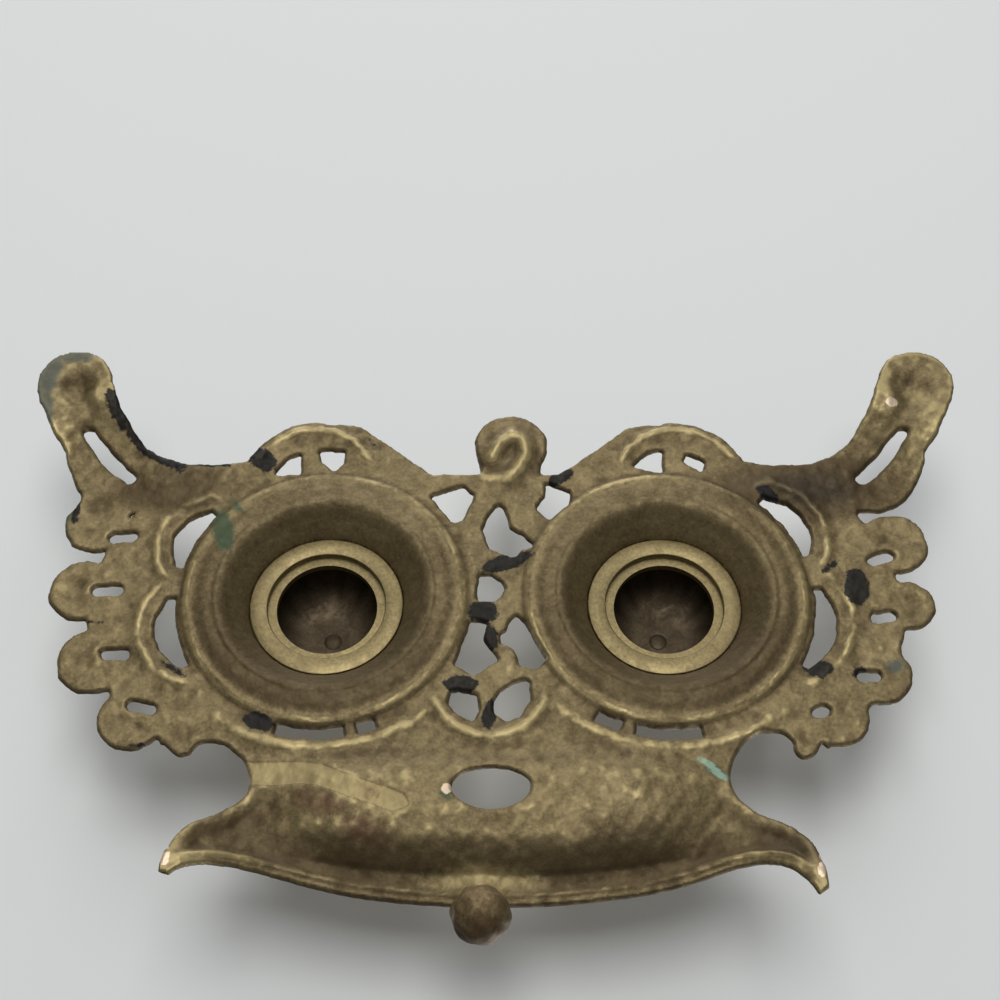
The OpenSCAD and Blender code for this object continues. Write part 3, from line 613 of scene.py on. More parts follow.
def cut_grid(xs, ys, metal):
    """Triangles of the part of a grid where metal is below zero. Grid points close to the edge
    are moved onto it along the slope, and triangles that cross the edge are cut at the place
    where the value reaches zero. Returns points, triangles, and which points lie on the edge."""
    rows, cols = metal.shape
    x, y = np.meshgrid(xs, ys)
    step = xs[1] - xs[0]
    gy, gx = np.gradient(metal, step)
    steep = np.maximum(gx * gx + gy * gy, 0.2)
    near = np.abs(metal) < 0.3 * step
    x = np.where(near, x - metal * gx / steep, x).ravel()
    y = np.where(near, y - metal * gy / steep, y).ravel()
    value = np.where(near, 0, metal).ravel()
    i, j = np.meshgrid(np.arange(rows - 1), np.arange(cols - 1), indexing="ij")
    a = (i * cols + j).ravel()
    b, c, d = a + 1, a + cols + 1, a + cols
    even = ((i + j) % 2 == 0).ravel()
    first = np.where(even[:, None], np.stack([a, b, c], 1), np.stack([a, b, d], 1))
    second = np.where(even[:, None], np.stack([a, c, d], 1), np.stack([b, c, d], 1))
    faces = np.concatenate([first, second])
    sign = np.sign(value[faces])
    faces = faces[(sign < 0).any(1)]
    sign = np.sign(value[faces])
    whole = faces[(sign <= 0).all(1)]
    mixed = faces[(sign > 0).any(1)]
    sign = np.sign(value[mixed])
    points = [np.stack([x, y], 1)]

    def turned_to(rows_in, test):
        """The same triangles, each turned so that its first corner passes the test."""
        first_at = np.argmax(test, 1)
        order = (first_at[:, None] + np.arange(3)) % 3
        return np.take_along_axis(rows_in, order, 1)

    inside = (sign < 0).sum(1)
    one = turned_to(mixed[inside == 1], sign[inside == 1] < 0)
    two = turned_to(mixed[inside == 2], sign[inside == 2] > 0)
    pairs = np.concatenate([one[:, [0, 1]], one[:, [0, 2]], two[:, [1, 0]], two[:, [2, 0]]])
    keys, where = np.unique(np.sort(pairs, 1), axis=0, return_inverse=True)
    where = where.ravel()
    va, vb = value[keys[:, 0]], value[keys[:, 1]]
    share = np.where(va != vb, va / np.where(va == vb, 1, va - vb), 0.5)
    share = np.clip(share, 0, 1)[:, None]
    points.append(points[0][keys[:, 0]] * (1 - share) + points[0][keys[:, 1]] * share)
    fresh = len(x) + where
    fresh = np.where(value[pairs[:, 1]] == 0, pairs[:, 1], fresh)
    n1, n2 = len(one), len(two)
    ab, ac = fresh[:n1], fresh[n1:2 * n1]
    ba, ca = fresh[2 * n1:2 * n1 + n2], fresh[2 * n1 + n2:]
    faces = np.concatenate([
        whole,
        np.stack([one[:, 0], ab, ac], 1),
        np.stack([two[:, 1], two[:, 2], ca], 1),
        np.stack([two[:, 1], ca, ba], 1),
    ])
    points = np.concatenate(points)
    edge = np.concatenate([value == 0, np.ones(len(keys), bool)])
    good = (faces[:, 0] != faces[:, 1]) & (faces[:, 1] != faces[:, 2]) & (faces[:, 2] != faces[:, 0])
    faces = faces[good & ~edge[faces].all(1)]
    used, faces = np.unique(faces, return_inverse=True)
    return points[used], faces.reshape(-1, 3), edge[used]


def sampled(field, xs, ys, points):
    """Value of a grid field at any points, by straight interpolation between its neighbours."""
    step = xs[1] - xs[0]
    u = np.clip((points[:, 0] - xs[0]) / step, 0, len(xs) - 1.001)
    v = np.clip((points[:, 1] - ys[0]) / step, 0, len(ys) - 1.001)
    i, j = v.astype(int), u.astype(int)
    fu, fv = u - j, v - i
    return (field[i, j] * (1 - fu) * (1 - fv) + field[i, j + 1] * fu * (1 - fv)
            + field[i + 1, j] * (1 - fu) * fv + field[i + 1, j + 1] * fu * fv)


def point_normals(points, faces):
    """Mean of the faces' normals round each point, weighted by their area."""
    a, b, c = points[faces[:, 0]], points[faces[:, 1]], points[faces[:, 2]]
    face = np.cross(b - a, c - a)
    normals = np.zeros_like(points)
    for k in range(3):
        for axis in range(3):
            normals[:, axis] += np.bincount(faces[:, k], face[:, axis], len(points))
    return normals / np.maximum(np.linalg.norm(normals, axis=1, keepdims=True), 1e-12)


def rim_walls(faces, top, low):
    """Wall between the two faces along every open edge of a flat patch: for each edge that only
    one triangle has, two triangles from its upper ends to its lower ends."""
    edges = np.concatenate([faces[:, [0, 1]], faces[:, [1, 2]], faces[:, [2, 0]]])
    key = np.sort(edges, 1)
    _, where, count = np.unique(key, axis=0, return_inverse=True, return_counts=True)
    edges = edges[count[where.ravel()] == 1]
    a, b = edges[:, 0], edges[:, 1]
    walls = np.concatenate([np.stack([top[b], top[a], low[a]], 1), np.stack([top[b], low[a], low[b]], 1)])
    return walls[(walls[:, 0] != walls[:, 1]) & (walls[:, 1] != walls[:, 2]) & (walls[:, 2] != walls[:, 0])]


def faces_inwards(points, faces):
    """Whether the triangles of a closed shape point inwards: the sum of a . (b x c) over them,
    which is six times the volume, is negative then."""
    a, b, c = (points[faces[:, k]] for k in range(3))
    return np.einsum("ij,ij->i", a, np.cross(b, c)).sum() < 0


def put_mesh(name, points, faces, metal, body, replaced, values=None, normals=None, offset=0):
    """Makes the object of a piece: its points in millimetres on the plan, moved along x by the
    offset, closed triangles pointing outwards, values kept as point attributes, its metal, its
    body and the nodes it stands for."""
    points = np.asarray(points, float) + (offset, WELL_Y, 0)
    faces = np.asarray(faces, np.int32)
    if faces_inwards(points, faces):
        faces = faces[:, ::-1]
        normals = None if normals is None else -normals
    mesh = bpy.data.meshes.new(name)
    mesh.vertices.add(len(points))
    mesh.vertices.foreach_set("co", (points * MM).astype(np.float32).ravel())
    mesh.loops.add(faces.size)
    mesh.loops.foreach_set("vertex_index", np.ascontiguousarray(faces).ravel())
    mesh.polygons.add(len(faces))
    mesh.polygons.foreach_set("loop_start", np.arange(0, faces.size, 3, dtype=np.int32))
    mesh.polygons.foreach_set("use_smooth", np.ones(len(faces), bool))
    mesh.update(calc_edges=True)
    for key, value in (values or {}).items():
        layer = mesh.attributes.new(key, "FLOAT", "POINT")
        layer.data.foreach_set("value", value.astype(np.float32))
    if normals is not None:
        mesh.normals_split_custom_set_from_vertices(normals.tolist())
    mesh.materials.append(finish(metal))
    piece = bpy.data.objects.new(name, mesh)
    bpy.context.scene.collection.objects.link(piece)
    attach(piece, body)
    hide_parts(*replaced)


def turned(section, steps, shift=None):
    """Surface of a section (rows of radius and height) carried round the z axis. A section that
    starts and ends on the axis gets a single point at each pole, and any other is a closed loop.
    shift, if given, moves each point: it gets the rows' share and the angle."""
    section = np.asarray(section, float)
    poles = section[0, 0] < 1e-6 and section[-1, 0] < 1e-6
    angle = np.linspace(0, 2 * np.pi, steps, endpoint=False)
    rows = section[1:-1] if poles else section
    radius = np.repeat(rows[:, :1], steps, 1)
    height = np.repeat(rows[:, 1:2], steps, 1)
    if shift is not None:
        radius, height = shift(radius, height, angle[None, :])
    points = np.stack([radius * np.cos(angle), radius * np.sin(angle), height], 2).reshape(-1, 3)
    count = len(rows)
    last = count - 1 if poles else count
    i, j = np.meshgrid(np.arange(last), np.arange(steps), indexing="ij")
    down, right = (i + 1) % count, (j + 1) % steps
    a, b, c, d = i * steps + j, i * steps + right, down * steps + right, down * steps + j
    faces = np.concatenate([np.stack([a, b, c], 2).reshape(-1, 3), np.stack([a, c, d], 2).reshape(-1, 3)])
    if poles:
        top, bottom = len(points), len(points) + 1
        points = np.concatenate([points, [[0, 0, section[0, 1]], [0, 0, section[-1, 1]]]])
        k = np.arange(steps)
        after = (k + 1) % steps
        end = (count - 1) * steps
        faces = np.concatenate([faces, np.stack([np.full(steps, top), after, k], 1),
                                np.stack([np.full(steps, bottom), end + k, end + after], 1)])
    return points, faces


def chamfered(corners, cut_back):
    """Closed section with each corner cut back by a short bevel of three points."""
    corners = np.array(corners, float)
    before, after = np.roll(corners, 1, 0), np.roll(corners, -1, 0)
    to_before = (before - corners) / np.linalg.norm(before - corners, axis=1, keepdims=True)
    to_after = (after - corners) / np.linalg.norm(after - corners, axis=1, keepdims=True)
    one, three = corners + cut_back * to_before, corners + cut_back * to_after
    two = corners + 0.3 * cut_back * (to_before + to_after)
    return np.stack([one, two, three], 1).reshape(-1, 2)


def joined_meshes(parts):
    """Points and triangles of several closed shapes as one mesh."""
    points, faces, count = [], [], 0
    for part_points, part_faces in parts:
        way = -1 if faces_inwards(part_points, part_faces) else 1
        points.append(part_points)
        faces.append(part_faces[:, ::way] + count)
        count += len(part_points)
    return np.concatenate(points), np.concatenate(faces)


# Finishes


class Nodes:
    """Fills the node tree of a material or world. Every method adds a node and gives its output."""

    def __init__(self, owner):
        owner.use_nodes = True
        self.owner = owner
        self.nodes, self.links = owner.node_tree.nodes, owner.node_tree.links
        self.nodes.clear()

    def add(self, kind, **settings):
        node = self.nodes.new(kind)
        for key, value in settings.items():
            setattr(node, key, value)
        return node

    def feed(self, node, **sources):
        """Links each source to the node's input of that name or number, or writes it in, and
        gives back the node's first output, if it has any."""
        for key, source in sources.items():
            socket = node.inputs[int(key[1:]) if key[1:].isdigit() else key.replace("_", " ")]
            if isinstance(source, bpy.types.NodeSocket):
                self.links.new(source, socket)
            elif hasattr(source, "__len__"):
                socket.default_value = tuple(source) + (1,) * (4 - len(source))
            elif source is not None:
                socket.default_value = source
        return node.outputs[0] if node.outputs else None

    def glow(self, kind, colour, strength):
        return self.feed(self.add(kind), Color=colour, Strength=strength)

    def camera_share(self, a, b, front=None):
        """Shader a for all rays but the camera's own, which see b, and only from its front side
        where front is given."""
        seen = self.add("ShaderNodeLightPath").outputs["Is Camera Ray"]
        if front is not None:
            seen = self.feed(self.add("ShaderNodeMath", operation="MULTIPLY"), _0=seen, _1=front)
        return self.feed(self.add("ShaderNodeMixShader"), _0=seen, _1=a, _2=b)


class Finish(Nodes):
    """Builds one material's nodes."""

    def __init__(self, name):
        super().__init__(bpy.data.materials.new(name))
        self.place = self.add("ShaderNodeTexCoord").outputs["Object"]

    def noise(self, feature, detail=4, rough=0.55, bend=0.0):
        """Noise whose features are about that many millimetres across."""
        return self.feed(self.add("ShaderNodeTexNoise"), Vector=self.place, Scale=1 / (feature * MM),
                         Detail=detail, Roughness=rough, Distortion=bend)

    def cells(self, feature):
        """Distance to the nearest of random spots about that many millimetres apart."""
        return self.feed(self.add("ShaderNodeTexVoronoi"), Vector=self.place, Scale=1 / (feature * MM))

    def value(self, name):
        return self.add("ShaderNodeAttribute", attribute_name=name).outputs["Fac"]

    def sum(self, operation, a, b, c=None):
        return self.feed(self.add("ShaderNodeMath", operation=operation), _0=a, _1=b, _2=c)

    def span(self, source, low, high, to_low=0.0, to_high=1.0):
        """Smooth step of the source between low and high, spread from to_low to to_high."""
        node = self.add("ShaderNodeMapRange", interpolation_type="SMOOTHSTEP")
        return self.feed(node, Value=source, From_Min=low, From_Max=high, To_Min=to_low, To_Max=to_high)

    def mix(self, share, a, b):
        node = self.add("ShaderNodeMix", data_type="RGBA")
        self.feed(node, _0=share, _6=a, _7=b)
        return node.outputs[2]

    def bump(self, height, depth, strength=1.0, normal=None):
        """Bump of that depth in millimetres."""
        return self.feed(self.add("ShaderNodeBump"), Strength=strength, Distance=depth * MM, Height=height,
                         Normal=normal)

    def surface(self, tint, metallic, roughness, normal, gloss=0.5):
        metal = self.feed(self.add("ShaderNodeBsdfPrincipled"), Base_Color=tint, Metallic=metallic,
                          Roughness=roughness, Normal=normal, Specular_IOR_Level=gloss)
        self.feed(self.add("ShaderNodeOutputMaterial"), Surface=metal)
        return self.owner


def aged_metal(f, base, dull, bright, grime=1.0):
    """Mottled brass: broad brown clouds, blotches of a few millimetres and a fine grain."""
    broad = f.span(f.noise(26, 3, 0.6, 0.6), 0.34, 0.66)
    blotch = f.span(f.noise(5.5, 5, 0.62, 0.8), 0.36, 0.68)
    grain = f.span(f.noise(0.9, 4, 0.7), 0.3, 0.72)
    tint = f.mix(f.sum("MULTIPLY", broad, 0.45 * grime), base, dull)
    tint = f.mix(f.sum("MULTIPLY", blotch, 0.42 * grime), tint, dull)
    tint = f.mix(f.sum("MULTIPLY", grain, 0.3), tint, bright)
    specks = f.span(f.cells(1.5), 0.12, 0.02)
    specks = f.sum("MULTIPLY", specks, f.span(f.noise(9, 2), 0.52, 0.66))
    tint = f.mix(f.sum("MULTIPLY", specks, 0.7 * grime), tint, (0.02, 0.016, 0.012))
    return tint, blotch


def cast_finish(colours):
    """Aged cast brass with the marks of its point attributes: ridges worn bright, hollows dull,
    ink, verdigris, bloom and red stains, painted shade and painted highlights, whose edges are
    broken up by noise."""
    f = Finish("aged_cast_brass")
    tint, blotch = aged_metal(f, colours.brass, colours.dull, colours.bright)
    crumble = f.sum("SUBTRACT", f.noise(2.2, 5, 0.68, 0.5), 0.5)
    worn = f.sum("MULTIPLY_ADD", crumble, 0.5, f.value("worn"))
    ridge = f.span(worn, 0.12, 0.85)
    tint = f.mix(f.sum("MULTIPLY", ridge, 0.68), tint, colours.bright)
    tint = f.mix(f.span(worn, -0.1, -0.8, 0, 0.7), tint, colours.dull)
    # Attribute, how far noise breaks up its edge, where it starts and is full, its cover, its colour
    cover = 0
    for key, rag, start, full, most, tone in (
            # These two rows paint shade: dull brass, and near black where the painted shade is strongest
            ("dark", 0.9, 0.1, 0.9, 0.8, colours.dull),
            ("dark", 0.9, 0.85, 1.6, 0.75, (0.022, 0.016, 0.009)),
            # This row paints highlights
            ("light", 0.9, 0.1, 0.9, 0.7, colours.bright),
            ("pale", 0.6, 0.5, 0.8, 0.6, colours.bright),
            ("rust", 1.3, 0.3, 0.9, 0.6, colours.rust),
            ("bloom", 1.2, 0.3, 0.8, 0.75, colours.bloom),
            ("verdigris", 1.2, 0.32, 0.85, 0.8, colours.verdigris),
            ("chalk", 1.4, 0.3, 0.8, 0.85, colours.chalk),
            ("bare", 1.0, 0.5, 0.75, 1, colours.bare),
            ("ink", 1.1, 0.42, 0.62, 0.94, colours.ink)):
        share = f.span(f.sum("MULTIPLY_ADD", crumble, rag, f.value(key)), start, full)
        tint = f.mix(f.sum("MULTIPLY", share, most), tint, tone)
        if key in ("bloom", "verdigris", "ink"):
            cover = f.sum("MAXIMUM", cover, share)
    metallic = f.span(cover, 0, 1, 0.6, 0.1)
    rough = f.sum("MULTIPLY_ADD", blotch, 0.12, f.span(ridge, 0, 1, 0.54, 0.42))
    gloss = f.span(cover, 0, 1, 0.5, 0.2)
    normal = f.bump(f.noise(0.7, 5, 0.7), 0.12, 0.7)
    normal = f.bump(f.noise(3.2, 3, 0.6), 0.25, 0.5, normal)
    normal = f.bump(f.cells(1.1), 0.06, 0.35, normal)
    return f.surface(tint, metallic, rough, normal, gloss)


def turned_finish(colours):
    """Turned brass: the same aged metal with fine rings of tool marks round each well."""
    f = Finish("turned_brass_rings")
    tint, blotch = aged_metal(f, colours.turned, colours.brass, colours.bright, 0.8)
    node = f.add("ShaderNodeSeparateXYZ")
    f.feed(node, Vector=f.place)
    out = f.sum("SUBTRACT", f.sum("ABSOLUTE", node.outputs["X"], 0), WELL_X * MM)
    back = f.sum("SUBTRACT", node.outputs["Y"], WELL_Y * MM)
    radius = f.sum("SQRT", f.sum("MULTIPLY_ADD", out, out, f.sum("MULTIPLY", back, back)), 0)
    rings = f.sum("SINE", f.sum("MULTIPLY_ADD", radius, 2 * math.pi / (0.34 * MM), f.noise(4, 2)), 0)
    spots = f.span(f.noise(3.4, 5, 0.7, 0.5), 0.56, 0.72)
    tint = f.mix(f.sum("MULTIPLY", spots, 0.55), tint, colours.dull)
    normal = f.bump(rings, 0.015, 0.5)
    normal = f.bump(f.noise(0.8, 4, 0.6), 0.05, 0.6, normal)
    return f.surface(tint, 0.75, f.span(blotch, 0, 1, 0.34, 0.5), normal)


def lid_finish(colours):
    """Brown brass of the lids, dull in the flutes, with green in the depths of the dome, and painted shade
    inside the dome.
    """
    f = Finish("brown_lid_brass")
    tint, blotch = aged_metal(f, colours.lid, colours.dull, colours.bright)
    crumble = f.sum("SUBTRACT", f.noise(2.4, 5, 0.68, 0.5), 0.5)
    worn = f.sum("MULTIPLY_ADD", crumble, 0.5, f.value("worn"))
    tint = f.mix(f.span(worn, 0.2, 0.9, 0, 0.7), tint, colours.bright)
    tint = f.mix(f.span(worn, -0.2, -0.9, 0, 0.8), tint, (0.035, 0.026, 0.016))
    tint = f.mix(f.span(f.noise(7, 4, 0.6, 0.4), 0.56, 0.74, 0, 0.4), tint, colours.verdigris)
    # Painted shade on the inside of the dome and on the rivet head under it
    lid_inside_shade = f.sum("MULTIPLY_ADD", crumble, 0.5, f.value("inside"))
    tint = f.mix(f.span(lid_inside_shade, 0.1, 0.9, 0, 0.8), tint, (0.022, 0.014, 0.007))
    normal = f.bump(f.noise(0.9, 5, 0.7), 0.08, 0.6)
    return f.surface(tint, 0.7, f.span(blotch, 0, 1, 0.4, 0.58), normal)


def pin_finish(colours):
    """Dark steel with fine rust."""
    f = Finish("dark_pin_steel")
    spots = f.span(f.noise(1.2, 5, 0.7), 0.45, 0.65)
    tint = f.mix(f.sum("MULTIPLY", spots, 0.5), colours.pin, colours.rust)
    return f.surface(tint, 0.85, f.span(spots, 0, 1, 0.35, 0.6), f.bump(f.noise(0.5, 4), 0.03, 0.5))


def stage_finish(name, tint):
    """Pale matte floor that only the camera's own rays see, and only from its front: every other
    ray passes through it, so that it never shades or colours the object."""
    f = Finish(name)
    matte = f.feed(f.add("ShaderNodeBsdfDiffuse"), Color=[0.95 * part for part in tint])
    both = f.feed(f.add("ShaderNodeAddShader"), _0=matte, _1=f.glow("ShaderNodeEmission", tint, 0.03))
    clear = f.add("ShaderNodeBsdfTransparent").outputs[0]
    front = f.sum("SUBTRACT", 1.0, f.add("ShaderNodeNewGeometry").outputs["Backfacing"])
    f.feed(f.add("ShaderNodeOutputMaterial"), Surface=f.camera_share(clear, both, front))
    return f.owner


# Each metal of the inkstand: what makes its material, and its slot
METALS = {
    "aged_cast_brass": (cast_finish, "cast_brass"),
    "turned_brass_rings": (turned_finish, "turned_brass"),
    "brown_lid_brass": (lid_finish, "lid_brass"),
    "dark_pin_steel": (pin_finish, "pin_brass"),
}


def finish(name):
    """The material of the named metal, made once."""
    return bpy.data.materials.get(name) or METALS[name][0](bpy.context.scene.inkstand_colours)


# Operators


class INKSTAND_OT_casting(bpy.types.Operator):
    """Makes the pierced casting in three pieces that meet without a gap, and the ball"""
    bl_idname = "inkstand.casting"
    bl_label = "Cast Stand"

    def execute(self, context):
        sizes = context.scene.inkstand_sizes
        step = sizes.grain / MM
        xs, ys = (np.arange(first, last + step / 2, step) for first, last in GRID)
        fields = casting_fields(*np.meshgrid(xs, ys), sizes)
        middle, fat = fields["middle"], fields["fat"]
        gy, gx = np.gradient(middle, step)
        slope = np.sqrt(1 + np.minimum(gx * gx + gy * gy, 4))
        inside = np.clip(-fields["metal"] / ROUNDING, 0, 1)
        half = sizes.wall / MM / 2 * np.sqrt(1 - (1 - inside) ** 2)
        fields["half"] = half * slope + fat * inside
        spread = max(int(2.2 / step), 1)
        for key, face in (("under", fat + fields["under"] - middle), ("over", middle + fat + fields["over"])):
            fields["worn_" + key] = np.clip((face - softened(face, spread)) / 0.5, -1.5, 1.5)
        plan, faces, edge = cut_grid(xs, ys, fields["metal"])
        at = {key: sampled(value, xs, ys, plan) for key, value in fields.items()}
        self.pieces(np.clip(plan, CASTING_LOW, CASTING_HIGH), faces, edge, at)
        self.ball(sizes.ball / MM)
        return {"FINISHED"}

    def pieces(self, plan, faces, edge, at):
        """Lower and upper face of the wall, half its thickness from its middle plus the relief,
        both drawn in at the edge by a quarter circle and joined there, cut into three regions."""
        body = ~edge
        share = np.clip(-at["metal"] / ROUNDING, 0, 1) * body
        half = np.where(body, at["half"], 0)
        round_in = np.sqrt(1 - (1 - share) ** 2)
        low = np.maximum(at["middle"] - half - at["under"] * round_in, 0)
        top = np.maximum(at["middle"] + half + at["over"] * round_in, low + 0.6 * body)
        low = np.where(edge, np.maximum(at["middle"], 0.2), low)
        points = np.concatenate([np.column_stack([plan, low]), np.column_stack([plan, top])[body]])
        low_of = np.arange(len(plan))
        top_of = np.where(body, len(plan) + np.cumsum(body) - 1, low_of)
        normals = point_normals(points, np.concatenate([top_of[faces], faces[:, ::-1]]))
        source = np.concatenate([low_of, np.flatnonzero(body)])
        is_low = np.arange(len(points)) < len(plan)
        values = {key: at[key][source] * np.where(is_low, 1, 0.25 if key == "ink" else 0)
                  for key in (*MARKS, "pale")}
        # Painted shade along the metal's cut edges
        values["dark"] = np.maximum(values["dark"], 1.1 * edge[source])
        worn_under = at["worn_under"] * (1 - 0.85 * at["saucer"])
        values["worn"] = np.where(is_low, worn_under[source], at["worn_over"][source])
        centre = plan[faces].mean(1)
        front, right = centre[:, 1] < BACK - 1, centre[:, 0] >= 0
        regions = {"tray": front, "right_side": ~front & right, "left_side": ~front & ~right}
        for name, chosen in regions.items():
            some = faces[chosen]
            part = np.concatenate([top_of[some], some[:, ::-1], rim_walls(some, top_of, low_of)])
            used, part = np.unique(part, return_inverse=True)
            put_mesh(f"casting_{name}", points[used], part.reshape(-1, 3), "aged_cast_brass", "stand",
                     ["base_casting"], {key: value[used] for key, value in values.items()}, normals[used])

    def ball(self, radius):
        """A ball as it came from the mould: a turned half circle, uneven by waves of its own
        places, flattened a little where it meets the lip."""
        angle = np.linspace(0, np.pi, 49)
        section = np.stack([radius * np.sin(angle), radius * np.cos(angle)], 1)
        section[[0, -1], 0] = 0
        points, faces = turned(section, 96)
        lump = 1 + 0.035 * uneven(points[:, 0] + points[:, 2], points[:, 1], 6, 2.2)
        lump += 0.008 * uneven(points[:, 0], points[:, 1] + points[:, 2], 2.4, 0.4)
        points = points * lump[:, None] * (0.96, 0.92, 0.96) + np.array(BALL) - (0, 0.04 * radius, 0)
        points[:, 2] = np.maximum(points[:, 2], 0.4)
        values = {key: np.zeros(len(points)) for key in (*MARKS, "pale")}
        values["rust"] = np.full(len(points), 0.55)
        # Painted shade on the ball's front, towards -y
        values["dark"] = 0.7 * ease(-87, -97, points[:, 1])
        values["worn"] = 0.2 * ease(6, 1, points[:, 2])
        put_mesh("lip_ball", points, faces, "aged_cast_brass", "stand", ["base_casting"], values)


class INKSTAND_OT_collars(bpy.types.Operator):
    """Makes the two turned collars with broken edges, and finishes the seat rings and pins"""
    bl_idname = "inkstand.collars"
    bl_label = "Fit Collars"

    def execute(self, context):
        for side, name in SIDES:
            low, high = (corner.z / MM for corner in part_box(f"{name}_collar"))
            corners = [(COLLAR_BORE, low), (COLLAR_R, low), (COLLAR_R, high), (COLLAR_BORE, high)]
            points, faces = turned(chamfered(corners, 0.3), 192)
            put_mesh(f"{name}_well_collar", points, faces, "turned_brass_rings", "stand",
                     [f"{name}_collar"], offset=side * WELL_X)
            for node, metal in (("seat_ring", "turned_brass_rings"), ("hinge_pin", "dark_pin_steel")):
                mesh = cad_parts[f"{name}_{node}"].data
                mesh.materials.clear()
                mesh.materials.append(finish(metal))
        return {"FINISHED"}


def arc(middle, radius, angles):
    """Points of a circle round the middle at the given angles in degrees."""
    return [(middle[0] + dx, middle[1] + dy) for dx, dy in (polar(angle, radius) for angle in angles)]


def dome_share(up):
    """Radius of the dome at a share of its height, as a share of its foot's radius: a circle's
    profile to the power 0.8, which makes its shoulders fuller."""
    return np.sqrt(np.maximum(1 - up * up, 0)) ** 0.8


class INKSTAND_OT_lids(bpy.types.Operator):
    """Makes the two fluted lids with their knuckles, and their knobs"""
    bl_idname = "inkstand.lids"
    bl_label = "Hang Lids"

    def execute(self, context):
        deep = context.scene.inkstand_sizes.flute / MM
        foot, edge = LID_FOOT, LID_R - 0.35
        shoulder = foot + LID_RIM
        start = shoulder + 0.8
        dome = CROWN - start
        dome_r = LID_R - 1.6
        angle = np.linspace(0, 1, 41) * np.pi / 2
        across, up = np.cos(angle) ** 0.8, np.sin(angle)
        shells = [np.stack([(dome_r - inset) * across, start + (dome - inset) * up], 1)
                  for inset in (0, LID_WALL)]
        outer, inner = (shell[shell[:, 0] > LID_BORE] for shell in shells)
        skirt = [(LID_R - LID_WALL, foot + 0.25), (LID_R - LID_WALL + 0.25, foot), (LID_R - 0.3, foot),
                 (LID_R, foot + 0.3), (LID_R, foot + 1), (edge, foot + 1.2), (edge, foot + 1.7),
                 (LID_R, foot + 1.9), (LID_R, shoulder - 0.4), (LID_R - 0.3, shoulder)]
        bore = [(LID_BORE, outer[-1, 1]), (LID_BORE, inner[-1, 1])]
        section = np.concatenate([skirt, outer, bore, inner[::-1], [(LID_R - LID_WALL, shoulder)]])

        def flutes(radius, height, around):
            """Sixteen flutes on the dome, deepest a third of the way up, pressed through the
            metal, so that the inside bulges where the outside dips."""
            up = np.clip((height - start) / dome, 0, 1)
            window = ease(0.02, 0.3, up) * (1 - ease(0.62, 0.86, up))
            window = window * np.where(radius < dome_r * dome_share(up) - 0.8, 0.4, 1)
            dip = deep * window * (0.5 - 0.5 * np.cos(FLUTES * around)) ** 1.5
            ring = 0.35 * hump(up - 0.9, 0.025) * (height > shoulder)
            return radius - dip, height - 0.4 * dip - ring

        tube, tube_faces = turned(chamfered([(1.16, -3.2), (2.6, -3.2), (2.6, 3.2), (1.16, 3.2)], 0.25), 48)
        tube = np.stack([tube[:, 2], HINGE_Y + tube[:, 0], HINGE_Z + tube[:, 1]], 1)
        turn = np.linspace(0, 2 * np.pi, 40, endpoint=False)
        across, lift = (half * np.sign(wave) * np.abs(wave) ** 0.4
                        for half, wave in ((3.1, np.cos(turn)), (2.1, np.sin(turn))))
        runs = np.linspace(LID_R - 1.2, HINGE_Y - 1.7, 5)
        web = np.concatenate([np.stack([across, np.full(40, run), HINGE_Z + lift], 1) for run in runs]
                             + [[[0, runs[0], HINGE_Z], [0, runs[-1], HINGE_Z]]])
        web_faces = turned([(0, 0)] + [(1, k) for k in range(5)] + [(0, 4)], 40)[1]
        shell, shell_faces = turned(section, 256, flutes)
        points, faces = joined_meshes([(shell, shell_faces), (tube, tube_faces), (web, web_faces)])
        around = np.arctan2(points[:, 1], points[:, 0])
        radius = np.hypot(points[:, 0], points[:, 1])
        height = np.clip((points[:, 2] - shoulder) / dome, 0, 1)
        within = (radius < dome_r * dome_share(height) - 1.1) & (radius < LID_R - 1.5)
        within = within & (points[:, 2] > foot + 0.1)
        crest = (0.9 * np.cos(FLUTES * around) - 0.3) * ease(0, 0.2, height) * (1 - ease(0.7, 0.9, height))
        for side, name in SIDES:
            # inside marks the lid's inner faces for painted shade
            values = {"worn": crest * ~within, "inside": within * 1.0}
            put_mesh(f"{name}_fluted_lid", points, faces, "brown_lid_brass", f"{name}_lid_body",
                     [f"{name}_lid"], values, offset=side * WELL_X)
            self.knob(side, name)
        return {"FINISHED"}

    def knob(self, side, name):
        """A turned knob: a rivet head and tenon, a stepped foot, a waist, a ball with a bead, each
        a stretch of one half section from axis to axis."""
        ball_r = 4.4
        ball_z = CROWN + 2.4 + ball_r
        tip_r = (KNOB_TOP - ball_z - 4.2) / 2 + 0.9
        rivet = [(0, -2.25), (1.4, -2.18), (2.3, -1.98), (2.8, -1.74), (2.6, -1.67), (1.98, -1.65)]
        foot = [(1.98, 0), (4.9, 0), (5.15, 0.2), (5.15, 0.7), (4.8, 1), (3.9, 1.1), (3.2, 1.45),
                (2.5, 1.9), (2.2, 2.4)]
        section = ([(radius, CROWN + height) for radius, height in rivet + foot]
                   + arc((0, ball_z), ball_r, np.linspace(-62, 66, 25))
                   + arc((0, KNOB_TOP - tip_r), tip_r, np.linspace(-35, 88, 12)) + [(0, KNOB_TOP)])
        points, faces = turned(section, 96)
        # The rivet head inside the lid gets painted shade
        values = {"worn": 0.8 * ease(CROWN + 4, CROWN + 9, points[:, 2]) - 0.3,
                  "inside": 1.0 * (points[:, 2] < CROWN - 0.1)}
        put_mesh(f"{name}_turned_knob", points, faces, "brown_lid_brass", f"{name}_lid_body",
                 [f"{name}_lid_knob"], values, offset=side * WELL_X)


